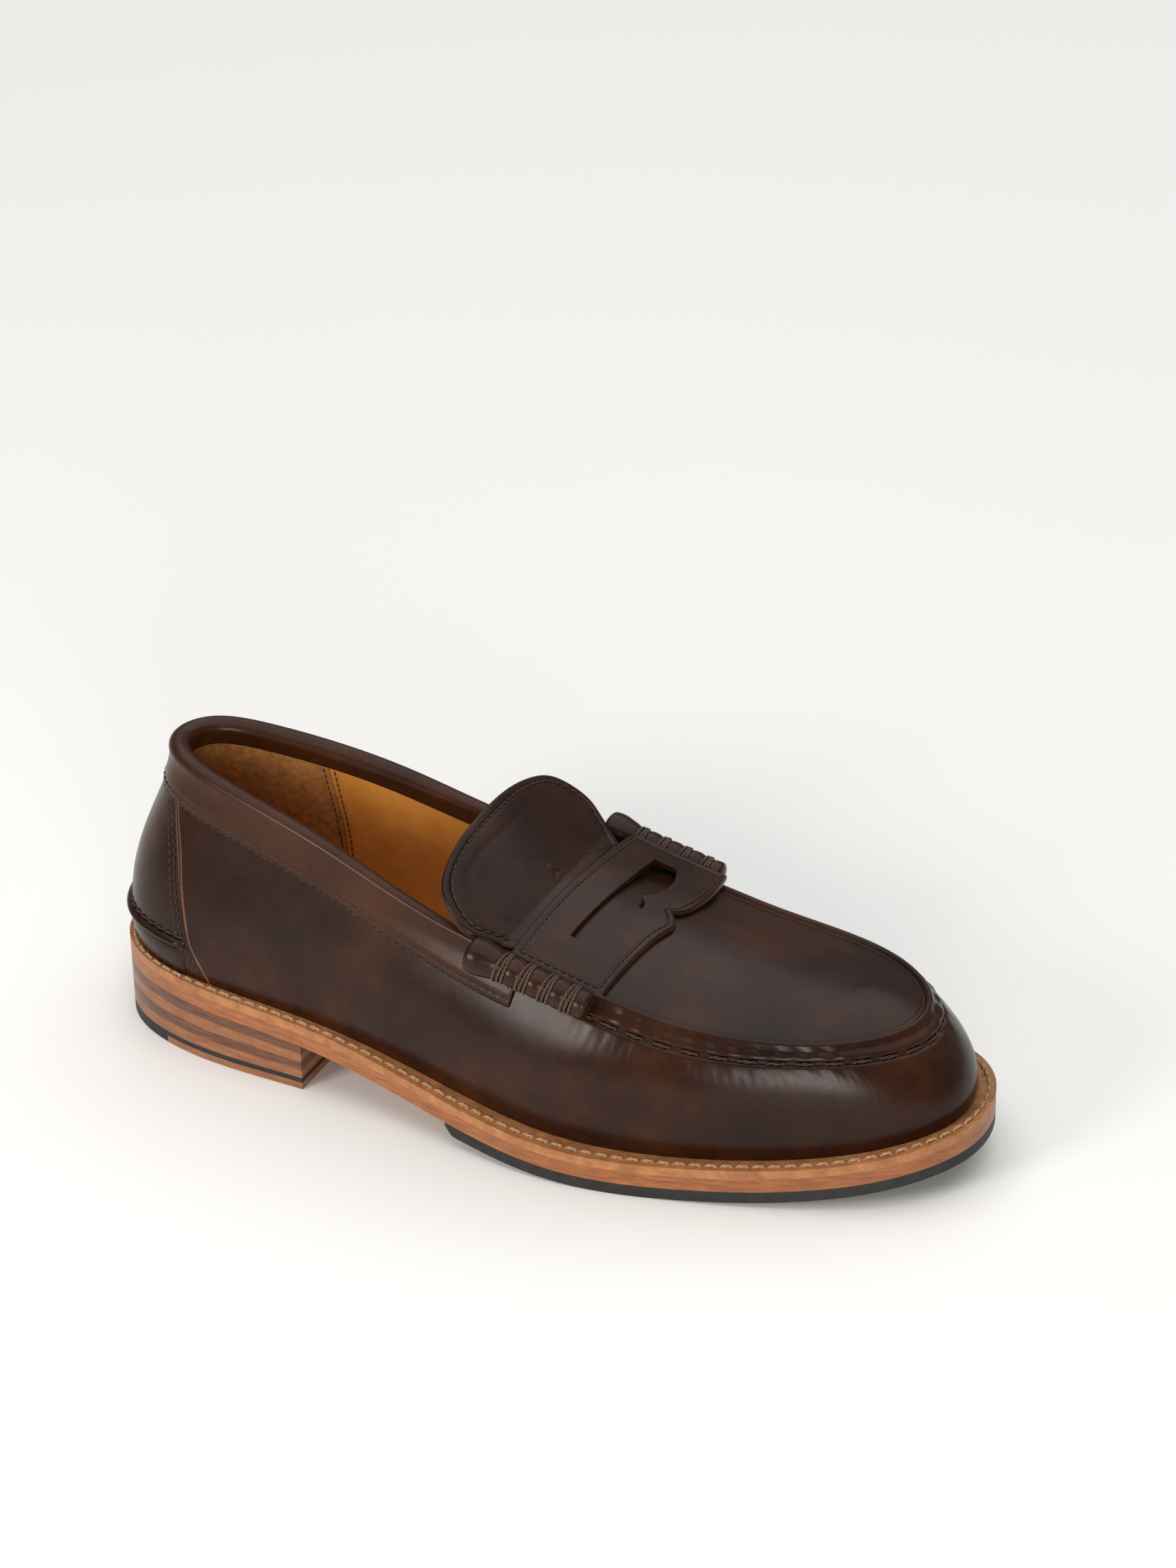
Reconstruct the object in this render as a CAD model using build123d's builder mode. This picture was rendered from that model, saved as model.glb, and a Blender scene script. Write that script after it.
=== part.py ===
"""A right-foot slip-on shoe with a saddle strap, hand-sewn apron and stacked leather heel.

Millimetres. The origin is on the floor under the centre of the heel, +X points to the toe,
+Y to the inner side of the foot and +Z up.
"""
import math
import os
from collections import namedtuple

from build123d import *

os.makedirs("parts", exist_ok=True)

# ---------------------------------------------------------------- driving sizes
LENGTH_SCALE = 1.0  # grows the whole plan along X
WIDTH_SCALE = 1.0  # grows the whole plan along Y
HEIGHT_SCALE = 1.0  # grows the upper above the welt

FIT = 0.1  # clearance between two glued or sewn layers

RUBBER = 3.8  # rubber half sole
OUTSOLE = 4.6  # leather outsole
WELT = 3.0  # welt strip
INSOLE = 2.8  # insole board
SOCK = 1.0  # leather sock over the insole
TOP_PIECE = 4.1  # rubber top piece of the heel
HEEL_CORNER = 2.3  # leather front corner let into the top piece
HEEL_BREAST_X = 41.0  # front face of the heel block
HEEL_CORNER_X = -12.0  # where the leather corner meets the rubber
HALF_SOLE_X = 96.0  # rear edge of the rubber half sole
LIFTS = 4  # leather lifts in the heel stack

WALL = 1.7  # upper leather
STIFFENER = 0.8  # heel counter and toe puff
LINING = 1.0  # lining leather
TONGUE = 1.6  # tongue leather
TONGUE_LINING = 0.8
STRAP = 1.9  # saddle strap leather
APRON = 1.5  # apron leather
RIM_R = 1.25  # rolled edge round the apron

COLLAR_DROP = 13.0  # depth of the collar band outside
COLLAR_INSIDE = 5.0  # depth of the collar band inside
COLLAR_LEATHER = 1.1
COLLAR_FRONT_X = 112.0  # front corner of the collar band
KICKER_HEIGHT = 9.5  # height of the heel ridge above the welt
KICKER_WIDTH = 2.6
KICKER_PROUD = 1.9
PATCH = 1.1  # lower heel patch leather

TONGUE_TILT = 33.0  # slope of the tongue above level
TONGUE_BASE_X = 112.6
TONGUE_BASE_Z = 70.0
TONGUE_CROWN_R = 170.0

ROLL_R = 4.3  # rolled end of the strap
ROLL_EDGE = 1.2  # rounding at both ends of the roll
# x, y, z of the two ends of each roll's axis.
ROLLS = {"outer": ((105.0, -44.0, 66.6), (142.0, -44.0, 57.6)),
         "inner": ((109.0, 45.6, 64.2), (146.0, 45.6, 55.2))}
WRAP_R = 0.55  # waxed thread round the roll
WRAPS = 4
STRANDS = 3
STRAND_GAP = 0.05
WRAP_START = 0.26  # share of the roll's length before the first wrap
WRAP_STEP = 0.2
WAIST_R = 1.9  # the thread pulls the roll in by a groove of this radius
WAIST_OUT = 0.6
WAIST_HALF = math.sqrt(WAIST_R**2 - WAIST_OUT**2)  # half width of the groove at the roll's surface

STITCH_PITCH = 4.8  # welt stitching
STITCH_LENGTH = 3.4
STITCH_R = 0.45

# One row per station round the foot, from the back of the heel along the outer side, round
# the toe and back along the inner side. x, y: edge of the sole. welt: how far the welt
# stands out. top: point the wall reaches. lean, rise: first control point of the profile.
# angle, run: direction and length of the last one.
Station = namedtuple("Station", "x y welt top_x top_y top_z lean rise angle run")
STATIONS = [
    Station(-38, 0, 3.5, -21, 0, 93, 9, 26, 84, 18),
    Station(-29, -24.5, 3.5, -15, -12, 92.5, 7, 24, 84, 17),
    Station(0, -38, 3.5, 4, -20, 89, 4, 20, 82, 18),
    Station(45, -42, 4.5, 45, -27, 79.5, 4, 20, 78, 18),
    Station(92, -50, 6.5, 92, -33.5, 65, 6, 18, 66, 17),
    Station(132, -56, 7.0, 138, -38, 57.5, 6, 17, 46, 16),
    Station(172, -50.2, 6.0, 168, -36.5, 51.5, 5, 15, 36, 13),
    Station(212, -38, 6.0, 198, -29, 48.5, 4, 13, 30, 11),
    Station(238, -23.5, 6.0, 218, -17, 47.5, 3, 12, 28, 10),
    Station(251, -6, 6.0, 229, -2, 47, 3, 11, 28, 9),
    Station(251, 14, 6.0, 229, 14, 47, 3, 11, 28, 9),
    Station(240, 33, 6.0, 219, 27, 47.5, 3, 12, 28, 9),
    Station(214, 48.5, 6.0, 199, 36, 48.5, 3, 12, 30, 10),
    Station(176, 53.5, 5.5, 168, 38.5, 51.5, 3, 13, 36, 12),
    Station(132, 47, 5.0, 136, 38, 57.5, 4, 15, 46, 14),
    Station(90, 36, 4.5, 92, 32.5, 65, 5, 17, 66, 16),
    Station(45, 35.5, 3.5, 45, 27, 79.5, 5, 20, 78, 17),
    Station(0, 38, 3.5, 4, 20, 89, 4, 20, 82, 17),
    Station(-29, 24.5, 3.5, -15, 12, 92.5, 7, 24, 84, 17),
]
# Underside of the leather outsole along the foot: x, z.
SOLE_LINE = [(-46, 20.5), (0, 19), (40, 16), (92, 8.6), (140, 4.0), (180, 4.4), (220, 8.2), (262, 17.2)]
# Crest of the apron along the foot: x, z, fall at 38 mm to the side.
INSTEP_LINE = [(100, 73.5, 6), (113, 69.3, 5), (130, 64.4, 4.6), (146, 60.4, 4.6), (168, 56.0, 4.6),
               (198, 52.8, 5.0), (218, 50.6, 6.0), (240, 46.0, 8.0)]
CREST_Y = 2.0
OUTER = -1  # the little-toe side
INNER = 1
SIDE = 80.0  # half width of every cutting block
TALL = 150.0  # height of every cutting block
LEVELS = 8  # rows of points up the wall


# ---------------------------------------------------------------- helpers
def scaled(row):
    rise_to_top = (row.top_z - sole_height(row.top_x)) * HEIGHT_SCALE + sole_height(row.top_x)
    return row._replace(x=row.x * LENGTH_SCALE, y=row.y * WIDTH_SCALE, top_x=row.top_x * LENGTH_SCALE,
                        top_y=row.top_y * WIDTH_SCALE, top_z=rise_to_top)


def sole_curve(lift):
    """Points of the sole's side profile, raised by lift, in the XZ plane."""
    return [(x * LENGTH_SCALE, z + lift) for x, z in SOLE_LINE]


def height_on(edge, x):
    """Z of a curve in the XZ plane where it passes a given x."""
    low, high = 0.0, 1.0
    for _ in range(24):
        mid = (low + high) / 2
        if (edge @ mid).X < x:
            low = mid
        else:
            high = mid
    return (edge @ low).Z


SOLE_EDGE = Spline(*[(x, 0, z) for x, z in SOLE_LINE])
CREST_EDGE = Spline(*[(x, 0, z) for x, z, fall in INSTEP_LINE])
FALL_EDGE = Spline(*[(x, 0, fall) for x, z, fall in INSTEP_LINE])


def sole_height(x):
    """Height of the sole's underside at x."""
    return height_on(SOLE_EDGE, x)


ROWS = [scaled(row) for row in STATIONS]
OUTLINE = Spline(*[(row.x, row.y) for row in ROWS], periodic=True)


def outward(row):
    """Unit normal of the sole outline at a station, pointing away from the foot."""
    along = OUTLINE % OUTLINE.param_at_point(Vector(row.x, row.y))
    return Vector(along.Y, -along.X, 0).normalized()


NORMALS = [outward(row) for row in ROWS]
SPANS = [math.dist((a.x, a.y), (b.x, b.y)) for a, b in zip(ROWS, ROWS[1:] + ROWS[:1])]
KNOTS = [sum(SPANS[:k]) / sum(SPANS) for k in range(len(ROWS) + 1)]
FEATHER = [Vector(row.x, row.y) - normal * row.welt for row, normal in zip(ROWS, NORMALS)]


def plan_loop(inset):
    """Closed spline at a distance inside the feather line, where the upper meets the welt."""
    points = [foot - normal * inset for foot, normal in zip(FEATHER, NORMALS)]
    return Spline(*[(p.X, p.Y) for p in points], periodic=True)


def profile(index, share):
    """Point of the wall's outer face at a station: distance out of its foot, and height."""
    row = ROWS[index]
    foot = FEATHER[index]
    base = sole_height(foot.X / LENGTH_SCALE) + OUTSOLE + WELT
    inward = math.hypot(row.top_x - foot.X, row.top_y - foot.Y)
    height = row.top_z - base
    angle = math.radians(row.angle)
    controls = [(0, 0), (row.lean, row.rise),
                (-inward + row.run * math.cos(angle), height - row.run * math.sin(angle)), (-inward, height)]
    rest = 1 - share
    weights = (rest**3, 3 * rest**2 * share, 3 * rest * share**2, share**3)
    out = sum(weight * control[0] for weight, control in zip(weights, controls))
    up = sum(weight * control[1] for weight, control in zip(weights, controls))
    return (out, base + up)


def station_plane(index):
    """Vertical plane through a station's feather point and its top point."""
    row = ROWS[index]
    foot = FEATHER[index]
    away = (Vector(foot.X, foot.Y) - Vector(row.top_x, row.top_y)).normalized()
    return Plane(origin=(foot.X, foot.Y, 0), x_dir=(away.X, away.Y, 0), z_dir=(away.Y, -away.X, 0))


def share_at(index, distance, from_top):
    """Share of the profile that lies a given length along it from its top or its foot."""
    steps = 200
    walked = 0.0
    last = profile(index, 1.0 if from_top else 0.0)
    for step in range(1, steps + 1):
        share = 1 - step / steps if from_top else step / steps
        point = profile(index, share)
        walked += math.dist(point, last)
        last = point
        if walked >= distance:
            return share
    return 0.0 if from_top else 1.0


def ring(shares):
    """Closed smooth curve round the outer face, at one share of the wall's height per station."""
    points = [station_plane(k).from_local_coords(Vector(*profile(k, shares[k]), 0)) for k in range(len(ROWS))]
    return Edge.make_spline(points, periodic=True, parameters=KNOTS)


def solid_between(outer_grid, inner_grid):
    """Solid between two smooth sheets of points, closed by ruled faces along their edges."""
    sheets = [Face.make_surface_from_array_of_points(grid, tol=0.002, min_deg=3, max_deg=5)
              for grid in (outer_grid, inner_grid)]
    other_edges = list(sheets[1].edges())
    rims = []
    for edge in sheets[0].edges():
        middle = edge.center()
        partner = min(other_edges, key=lambda other: (other.center() - middle).length)
        rims.append(Face.make_surface_from_curves(edge, partner))
    body = Solid(Shell(sheets + rims))
    if body.volume < 0:
        body = Solid(Shell([-face for face in sheets + rims]))
    return body


def crossing(curve, line, side):
    """Share of a ring where it passes a line drawn in side view, given as points x, z."""
    near, far = (0.0, KNOTS[8]) if side < 0 else (1.0, KNOTS[11])
    for _ in range(22):
        middle = (near + far) / 2
        point = curve.position_at(middle)
        for (low_x, low_z), (high_x, high_z) in zip(line, line[1:]):
            if low_z <= point.Z < high_z:
                line_x = low_x + (high_x - low_x) * (point.Z - low_z) / (high_z - low_z)
        if point.X < line_x:
            near = middle
        else:
            far = middle
    return near


SHARE_STEP = 0.01  # step used to find which way the wall faces


def wall_grid(shares, depth, start, end, count):
    """Rows of points at a depth under the outer face, one row per list of shares."""
    grid = []
    for level in shares:
        middle = ring(level)
        below = ring([share - SHARE_STEP for share in level])
        above = ring([share + SHARE_STEP for share in level])
        first = crossing(middle, start[1], start[0])
        last = crossing(middle, end[1], end[0])
        if first > last:
            first -= 1
        row = []
        for number in range(count + 1):
            place = (first + (last - first) * number / count) % 1.0
            rise = above.position_at(place) - below.position_at(place)
            outward_way = middle.tangent_at(place).cross(rise).normalized()
            row.append(middle.position_at(place) - outward_way * depth)
        grid.append(row)
    return grid


def wall_layer(outer, inner, low, high, start, end, count):
    """Layer of the wall between two depths; low and high are shares or one share per station."""
    lows = low if isinstance(low, list) else [low] * len(ROWS)
    highs = high if isinstance(high, list) else [high] * len(ROWS)
    shares = [[a + (b - a) * step / LEVELS for a, b in zip(lows, highs)] for step in range(LEVELS + 1)]
    return solid_between(*(wall_grid(shares, depth, start, end, count) for depth in (outer, inner)))


def keep_side(points):
    """Keeps only what lies inside a closed side view, all the way across the shoe."""
    with BuildSketch(Plane.XZ) as view:
        with BuildLine():
            Polyline(*points, close=True)
        make_face()
    extrude(view.sketch, amount=SIDE, both=True, mode=Mode.INTERSECT)


def sole_layer(low, high, start, end):
    """Keeps only a band that follows the sole line, between two heights and two x values."""
    with BuildSketch(Plane.XZ) as band:
        with BuildLine():
            bottom = Spline(*sole_curve(low))
            top = Spline(*sole_curve(high))
            Line(bottom @ 0, top @ 0)
            Line(bottom @ 1, top @ 1)
        make_face()
    extrude(band.sketch, amount=SIDE, both=True, mode=Mode.INTERSECT)
    keep_side([(start, -TALL), (end, -TALL), (end, TALL), (start, TALL)])


def instep_slab(low, high, start, end, count=24):
    """Slab that follows the crowned instep, between two heights over the apron."""
    reach = 52.0  # half width of the slab
    grids = []
    for lift in (high, low):
        grid = []
        for k in range(count + 1):
            x = start + (end - start) * k / count
            height = height_on(CREST_EDGE, x)
            fall = height_on(FALL_EDGE, x)
            height = sole_height(x) + (height - sole_height(x)) * HEIGHT_SCALE + lift
            grid.append([Vector(x * LENGTH_SCALE, CREST_Y + reach * side / 4,
                                height - fall * (reach * side / 4 / 38.0) ** 2) for side in range(-4, 5)])
        grids.append(grid)
    return solid_between(*grids)


def save(built, label):
    built.part.label = label
    export_step(built.part, f"parts/{label}.step")


TOE_X = 270 * LENGTH_SCALE
BACK_X = -45 * LENGTH_SCALE
BREAST = HEEL_BREAST_X * LENGTH_SCALE

# ---------------------------------------------------------------- sole
with BuildPart() as leather_outsole:
    with BuildSketch():
        add(make_face(OUTLINE))
    extrude(amount=TALL)
    sole_layer(0, OUTSOLE, BACK_X, TOE_X)
save(leather_outsole, "leather_outsole")

with BuildPart() as welt:
    with BuildSketch():
        add(make_face(OUTLINE))
        add(make_face(plan_loop(WALL + STIFFENER)), mode=Mode.SUBTRACT)
    extrude(amount=TALL)
    sole_layer(OUTSOLE, OUTSOLE + WELT, BACK_X, TOE_X)
save(welt, "welt")

RIB_IN = 4.4
RIB_WIDTH = 2.0
with BuildPart() as insole_rib:
    with BuildSketch():
        add(make_face(plan_loop(RIB_IN)))
        add(make_face(plan_loop(RIB_IN + RIB_WIDTH)), mode=Mode.SUBTRACT)
    extrude(amount=TALL)
    sole_layer(OUTSOLE, OUTSOLE + WELT, BACK_X, TOE_X)
save(insole_rib, "insole_rib")

SHANK_LENGTH = 96.0
SHANK_WIDTH = 14.0
SHANK = 1.2
SHANK_MID_X = 58.0
with BuildPart() as shank:
    with BuildSketch():
        with Locations((SHANK_MID_X * LENGTH_SCALE, 0)):
            SlotOverall(SHANK_LENGTH, SHANK_WIDTH)
    extrude(amount=TALL)
    sole_layer(OUTSOLE + FIT, OUTSOLE + FIT + SHANK, BACK_X, TOE_X)
save(shank, "shank")

with BuildPart() as cork_filler:
    with BuildSketch():
        add(make_face(plan_loop(RIB_IN + RIB_WIDTH + FIT)))
    extrude(amount=TALL)
    sole_layer(OUTSOLE, OUTSOLE + WELT, BACK_X, TOE_X)
    with BuildSketch():
        with Locations((SHANK_MID_X * LENGTH_SCALE, 0)):
            SlotOverall(SHANK_LENGTH + 2 * FIT, SHANK_WIDTH + 2 * FIT)
    extrude(amount=150, mode=Mode.SUBTRACT)
save(cork_filler, "cork_filler")

LINING_IN = WALL + STIFFENER + 2 * FIT  # depth of the lining's outer face
INSOLE_IN = LINING_IN + LINING + 4 * FIT
with BuildPart() as insole:
    with BuildSketch():
        add(make_face(plan_loop(INSOLE_IN)))
    extrude(amount=TALL)
    sole_layer(OUTSOLE + WELT, OUTSOLE + WELT + INSOLE, BACK_X, TOE_X)
save(insole, "insole")

SOCK_IN = 0.6  # the sock stops this far inside the insole
with BuildPart() as sock_liner:
    with BuildSketch():
        add(make_face(plan_loop(INSOLE_IN + SOCK_IN)))
    extrude(amount=TALL)
    sole_layer(OUTSOLE + WELT + INSOLE, OUTSOLE + WELT + INSOLE + SOCK, BACK_X, TOE_X)
save(sock_liner, "sock_liner")

HALF_SOLE_SKIVE = 0.7  # share of the rubber thickness skived at its rear edge
with BuildPart() as rubber_half_sole:
    with BuildSketch(Plane.XY.offset(-20)):
        add(make_face(OUTLINE))
    extrude(amount=TALL)
    sole_layer(-RUBBER, 0, HALF_SOLE_X * LENGTH_SCALE, TOE_X)
    rear_edge = rubber_half_sole.faces().sort_by(Axis.X)[0].edges().sort_by(Axis.Z)[0]
    chamfer(rear_edge, length=RUBBER * HALF_SOLE_SKIVE)
save(rubber_half_sole, "rubber_half_sole")

# ---------------------------------------------------------------- heel block
NAIL_R = 0.9
NAIL_FIT = 0.02  # clearance round each nail
# Nail positions: x, y.
NAILS = [(-24, -10), (-24, 10), (-6, -24), (-6, 24), (24, -26), (24, 26)]
for lift in range(LIFTS):
    with BuildPart() as heel_lift:
        with BuildSketch():
            add(make_face(OUTLINE))
        extrude(amount=TALL)
        with BuildSketch(Plane.XZ):
            with BuildLine():
                ends = []
                for level in (lift, lift + 1):
                    share = level / LIFTS
                    points = [(x * LENGTH_SCALE, TOP_PIECE + (sole_height(x) - TOP_PIECE) * share)
                              for x in (-46, -20, 5, 25, HEEL_BREAST_X)]
                    ends.append(Spline(*points))
                Line(ends[0] @ 0, ends[1] @ 0)
                Line(ends[0] @ 1, ends[1] @ 1)
            make_face()
        extrude(amount=SIDE, both=True, mode=Mode.INTERSECT)
        with Locations(*[(x * LENGTH_SCALE, y * WIDTH_SCALE, 0) for x, y in NAILS]):
            Cylinder(NAIL_R + NAIL_FIT, TALL, mode=Mode.SUBTRACT)
    save(heel_lift, f"heel_lift_{lift + 1}")

with BuildPart() as rubber_top_piece:
    with BuildSketch():
        add(make_face(OUTLINE))
    extrude(amount=TOP_PIECE)
    keep_side([(BACK_X, -1), (BREAST, -1), (BREAST, 10), (BACK_X, 10)])
    with BuildSketch():
        with Locations((HEEL_CORNER_X * LENGTH_SCALE, 0)):
            Rectangle(SIDE * LENGTH_SCALE, SIDE, align=(Align.MIN, Align.MAX))
    extrude(amount=HEEL_CORNER, mode=Mode.SUBTRACT)
save(rubber_top_piece, "rubber_top_piece")

with BuildPart() as heel_leather_corner:
    with BuildSketch():
        add(make_face(OUTLINE))
    extrude(amount=HEEL_CORNER)
    corner_x = HEEL_CORNER_X * LENGTH_SCALE
    keep_side([(corner_x, -1), (BREAST, -1), (BREAST, 10), (corner_x, 10)])
    split(bisect_by=Plane.XZ, keep=Keep.TOP)
save(heel_leather_corner, "heel_leather_corner")

with BuildPart() as heel_nails:
    for nail_x, nail_y in NAILS:
        with Locations((nail_x * LENGTH_SCALE, nail_y * WIDTH_SCALE, TOP_PIECE)):
            Cylinder(NAIL_R, sole_height(nail_x) - TOP_PIECE - FIT,
                     align=(Align.CENTER, Align.CENTER, Align.MIN))
save(heel_nails, "heel_nails")

# ---------------------------------------------------------------- upper
# Side view of the heel seam: x and z from the welt up to the topline.
HEEL_SEAM = [(6, 20), (5, 28), (-1.5, 39), (-5, 52), (-8, 66), (-13, 82), (-17, 92), (-19, 110)]


SEAM_EDGE = Spline(*[(z, x, 0) for x, z in HEEL_SEAM])


def heel_seam(shift):
    """The heel seam in side view, moved along X by shift, as closely spaced points."""
    points = [SEAM_EDGE @ (k / 40) for k in range(41)]
    inside = [(point.Y * LENGTH_SCALE + shift, point.X) for point in points]
    return [(inside[0][0], -20), *inside, (inside[-1][0], 200)]


def upright(x, slope=0.0):
    """A cut at x in side view; slope leans it back at the top."""
    return [(x * LENGTH_SCALE, -20), (x * LENGTH_SCALE - slope, 120), (x * LENGTH_SCALE - slope, 200)]


def sides(line):
    """The two ends of a piece round the toe: the same line on the outer and inner side."""
    return (OUTER, line), (INNER, line)


def heel_sides(line):
    """The two ends of a piece round the heel."""
    return (INNER, line), (OUTER, line)


with BuildPart() as vamp:
    add(wall_layer(0, WALL, 0.0, 1.0, *sides(heel_seam(FIT / 2)), count=90))
save(vamp, "vamp")

with BuildPart() as heel_panel:
    add(wall_layer(0, WALL, 0.0, 1.0, *heel_sides(heel_seam(-FIT / 2)), count=30))
save(heel_panel, "heel_panel")

STIFF_IN = WALL + FIT
PUFF_X = 196.0
with BuildPart() as toe_puff:
    add(wall_layer(STIFF_IN, STIFF_IN + STIFFENER, 0.0, 0.86, *sides(upright(PUFF_X)), count=40))
save(toe_puff, "toe_puff")

COUNTER_X = 38.0
with BuildPart() as heel_counter:
    add(wall_layer(STIFF_IN, STIFF_IN + STIFFENER, 0.0, 0.72, *heel_sides(upright(COUNTER_X, 14)), count=50))
save(heel_counter, "heel_counter")

HEEL_LINING_X = 20.0  # front edge of the suede heel lining
QUARTER_X = 118.0  # front edge of the smooth quarter linings
JOIN = 0.15  # half the gap where two linings meet
LINING_FACES = (LINING_IN, LINING_IN + LINING)
LINING_TOP = 0.985
with BuildPart() as heel_lining:
    add(wall_layer(*LINING_FACES, 0.0, LINING_TOP, *heel_sides(upright(HEEL_LINING_X - JOIN)), count=40))
save(heel_lining, "heel_lining")

for label, side in (("outer", OUTER), ("inner", INNER)):
    ends = [(side, upright(HEEL_LINING_X + JOIN)), (side, upright(QUARTER_X - JOIN))]
    with BuildPart() as quarter_lining:
        add(wall_layer(*LINING_FACES, 0.0, LINING_TOP, *(ends if side < 0 else reversed(ends)), count=30))
    save(quarter_lining, f"quarter_lining_{label}")

with BuildPart() as vamp_lining:
    add(wall_layer(*LINING_FACES, 0.0, 0.95, *sides(upright(QUARTER_X + JOIN)), count=60))
save(vamp_lining, "vamp_lining")

# ---------------------------------------------------------------- collar and heel details
COLLAR_FAR = LINING_IN + LINING + 3 * FIT  # depth of the collar's inside leg


CAP_RISE = 2.2  # height of the rolled topline over the wall


COLLAR_GAP = 2 * FIT  # the band stands this far off the wall
COLLAR_SECTIONS = 44
COLLAR_ENDS = heel_sides(upright(COLLAR_FRONT_X))


def collar_rail(drop, depth, lift=0.0):
    """Row of points along the collar, a length down from the topline and at a depth."""
    shares = [share_at(k, drop, True) if drop else 1.0 for k in range(len(ROWS))]
    row = wall_grid([shares], depth, *COLLAR_ENDS, COLLAR_SECTIONS)[0]
    return [point + Vector(0, 0, lift) for point in row]


def collar_cap(turn):
    """Row of points along the rolled topline, turn degrees round it from the outer face."""
    half = (COLLAR_FAR + 2 * COLLAR_LEATHER + COLLAR_GAP) / 2
    depth = COLLAR_FAR + COLLAR_LEATHER - half * (1 + math.cos(math.radians(turn)))
    return collar_rail(0, depth, CAP_RISE * math.sin(math.radians(turn)) + COLLAR_GAP)


OUTSIDE_DROPS = [COLLAR_DROP * step / 4 for step in (4, 3, 2, 1)]
INSIDE_DROPS = [COLLAR_INSIDE * step / 3 for step in (1, 2, 3)]
collar_rails = [collar_rail(drop, -COLLAR_GAP - COLLAR_LEATHER) for drop in OUTSIDE_DROPS]
collar_rails += [collar_cap(turn) for turn in (0, 30, 60, 90, 120, 150, 180)]
collar_rails += [collar_rail(drop, COLLAR_FAR + COLLAR_LEATHER) for drop in INSIDE_DROPS]
collar_rails += [collar_rail(drop, COLLAR_FAR) for drop in reversed(INSIDE_DROPS)]
collar_rails += [collar_rail(0, depth, COLLAR_GAP) for depth in (COLLAR_FAR, -COLLAR_GAP)]
collar_rails += [collar_rail(drop, -COLLAR_GAP) for drop in reversed(OUTSIDE_DROPS)]
for end in (0, -1):
    corner = collar_rails[0][end]
    way = collar_rails[0][1 if end == 0 else -2] - corner
    end_plane = Plane(origin=corner, z_dir=(way.X, way.Y, 0))
    for rail in collar_rails:
        flat = end_plane.to_local_coords(rail[end])
        rail[end] = end_plane.from_local_coords(Vector(flat.X, flat.Y, 0))
lines = [Edge.make_spline(rail) for rail in collar_rails]
faces = [Face.make_surface_from_curves(low, high) for low, high in zip(lines, lines[1:] + lines[:1])]
for end in (0, -1):
    faces.append(make_face(Polyline(*[rail[end] for rail in collar_rails], close=True).edges()).face())
band = Solid(Shell(faces))
with BuildPart() as collar_band:
    add(band if band.volume > 0 else Solid(Shell([-face for face in faces])))
save(collar_band, "collar_band")


def heel_band(low, high, outer, inner):
    """Band round the heel between two lengths up the wall from the welt."""
    lows = [share_at(k, low, False) for k in range(len(ROWS))]
    highs = [share_at(k, high, False) for k in range(len(ROWS))]
    return wall_layer(outer, inner, lows, highs, *heel_sides(heel_seam(-BAND_BACK)), count=30)


BAND_BACK = 1.5  # the heel bands stop this far behind the seam
with BuildPart() as heel_lower_patch:
    add(heel_band(0.2, KICKER_HEIGHT - FIT, -FIT - PATCH, -FIT))
save(heel_lower_patch, "heel_lower_patch")

with BuildPart() as heel_ridge:
    add(heel_band(KICKER_HEIGHT, KICKER_HEIGHT + KICKER_WIDTH, -FIT - KICKER_PROUD, -FIT))
save(heel_ridge, "heel_ridge")

# ---------------------------------------------------------------- apron
TOPS = [Vector(row.top_x, row.top_y, row.top_z) for row in ROWS]
INWARD = [Vector(top.X - foot.X, top.Y - foot.Y, 0).normalized() for top, foot in zip(TOPS, FEATHER)]
APRON_ROWS = range(5, 15)
APRON_INSET = 2.3
APRON_LIFT = 0.7
APRON_BACK_X = 114.5


def seam_points(inward, up):
    """Points along the apron seam, moved inward and up from the top of the wall."""
    return [TOPS[k] + INWARD[k] * inward + Vector(0, 0, up) for k in APRON_ROWS]


with BuildPart() as apron:
    add(instep_slab(APRON_LIFT - APRON, APRON_LIFT, APRON_BACK_X - 2, 242))
    inset = seam_points(APRON_INSET, 0)
    with BuildSketch() as apron_plan:
        with BuildLine():
            back_x = APRON_BACK_X * LENGTH_SCALE
            edge = Spline((back_x, inset[0].Y + 1), *[(p.X, p.Y) for p in inset], (back_x, inset[-1].Y - 1))
            Line(edge @ 1, edge @ 0)
        make_face()
    extrude(apron_plan.sketch, amount=TALL, both=True, mode=Mode.INTERSECT)
save(apron, "apron")

with BuildPart() as apron_rim:
    with BuildLine() as rim_path:
        Spline(*seam_points(0.4, RIM_R + 0.35))
    with BuildSketch(Plane(origin=rim_path.line @ 0, z_dir=rim_path.line % 0)):
        Circle(RIM_R)
    sweep()
save(apron_rim, "apron_rim")

# ---------------------------------------------------------------- strap, rolls and threads
STRAP_LIFT = 2.7  # underside of the strap over the apron's crest line
STRAP_REAR = [(113.6, -36.5), (118.4, 40.5)]
STRAP_FRONT = [(144.4, -37.4), (147.2, -12), (149.6, 2), (146.0, 8), (150.2, 15), (152.2, 27), (150.6, 40.0)]
SLOT_REAR = [(126.0, -22.0), (130.2, 31.0)]
SLOT_FRONT = [(133.0, -19), (138.2, -4), (139.6, 5), (136.2, 9.5), (140.4, 15), (140.8, 25), (138.6, 30)]


def plan(points):
    return [(x * LENGTH_SCALE, y * WIDTH_SCALE) for x, y in points]


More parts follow.
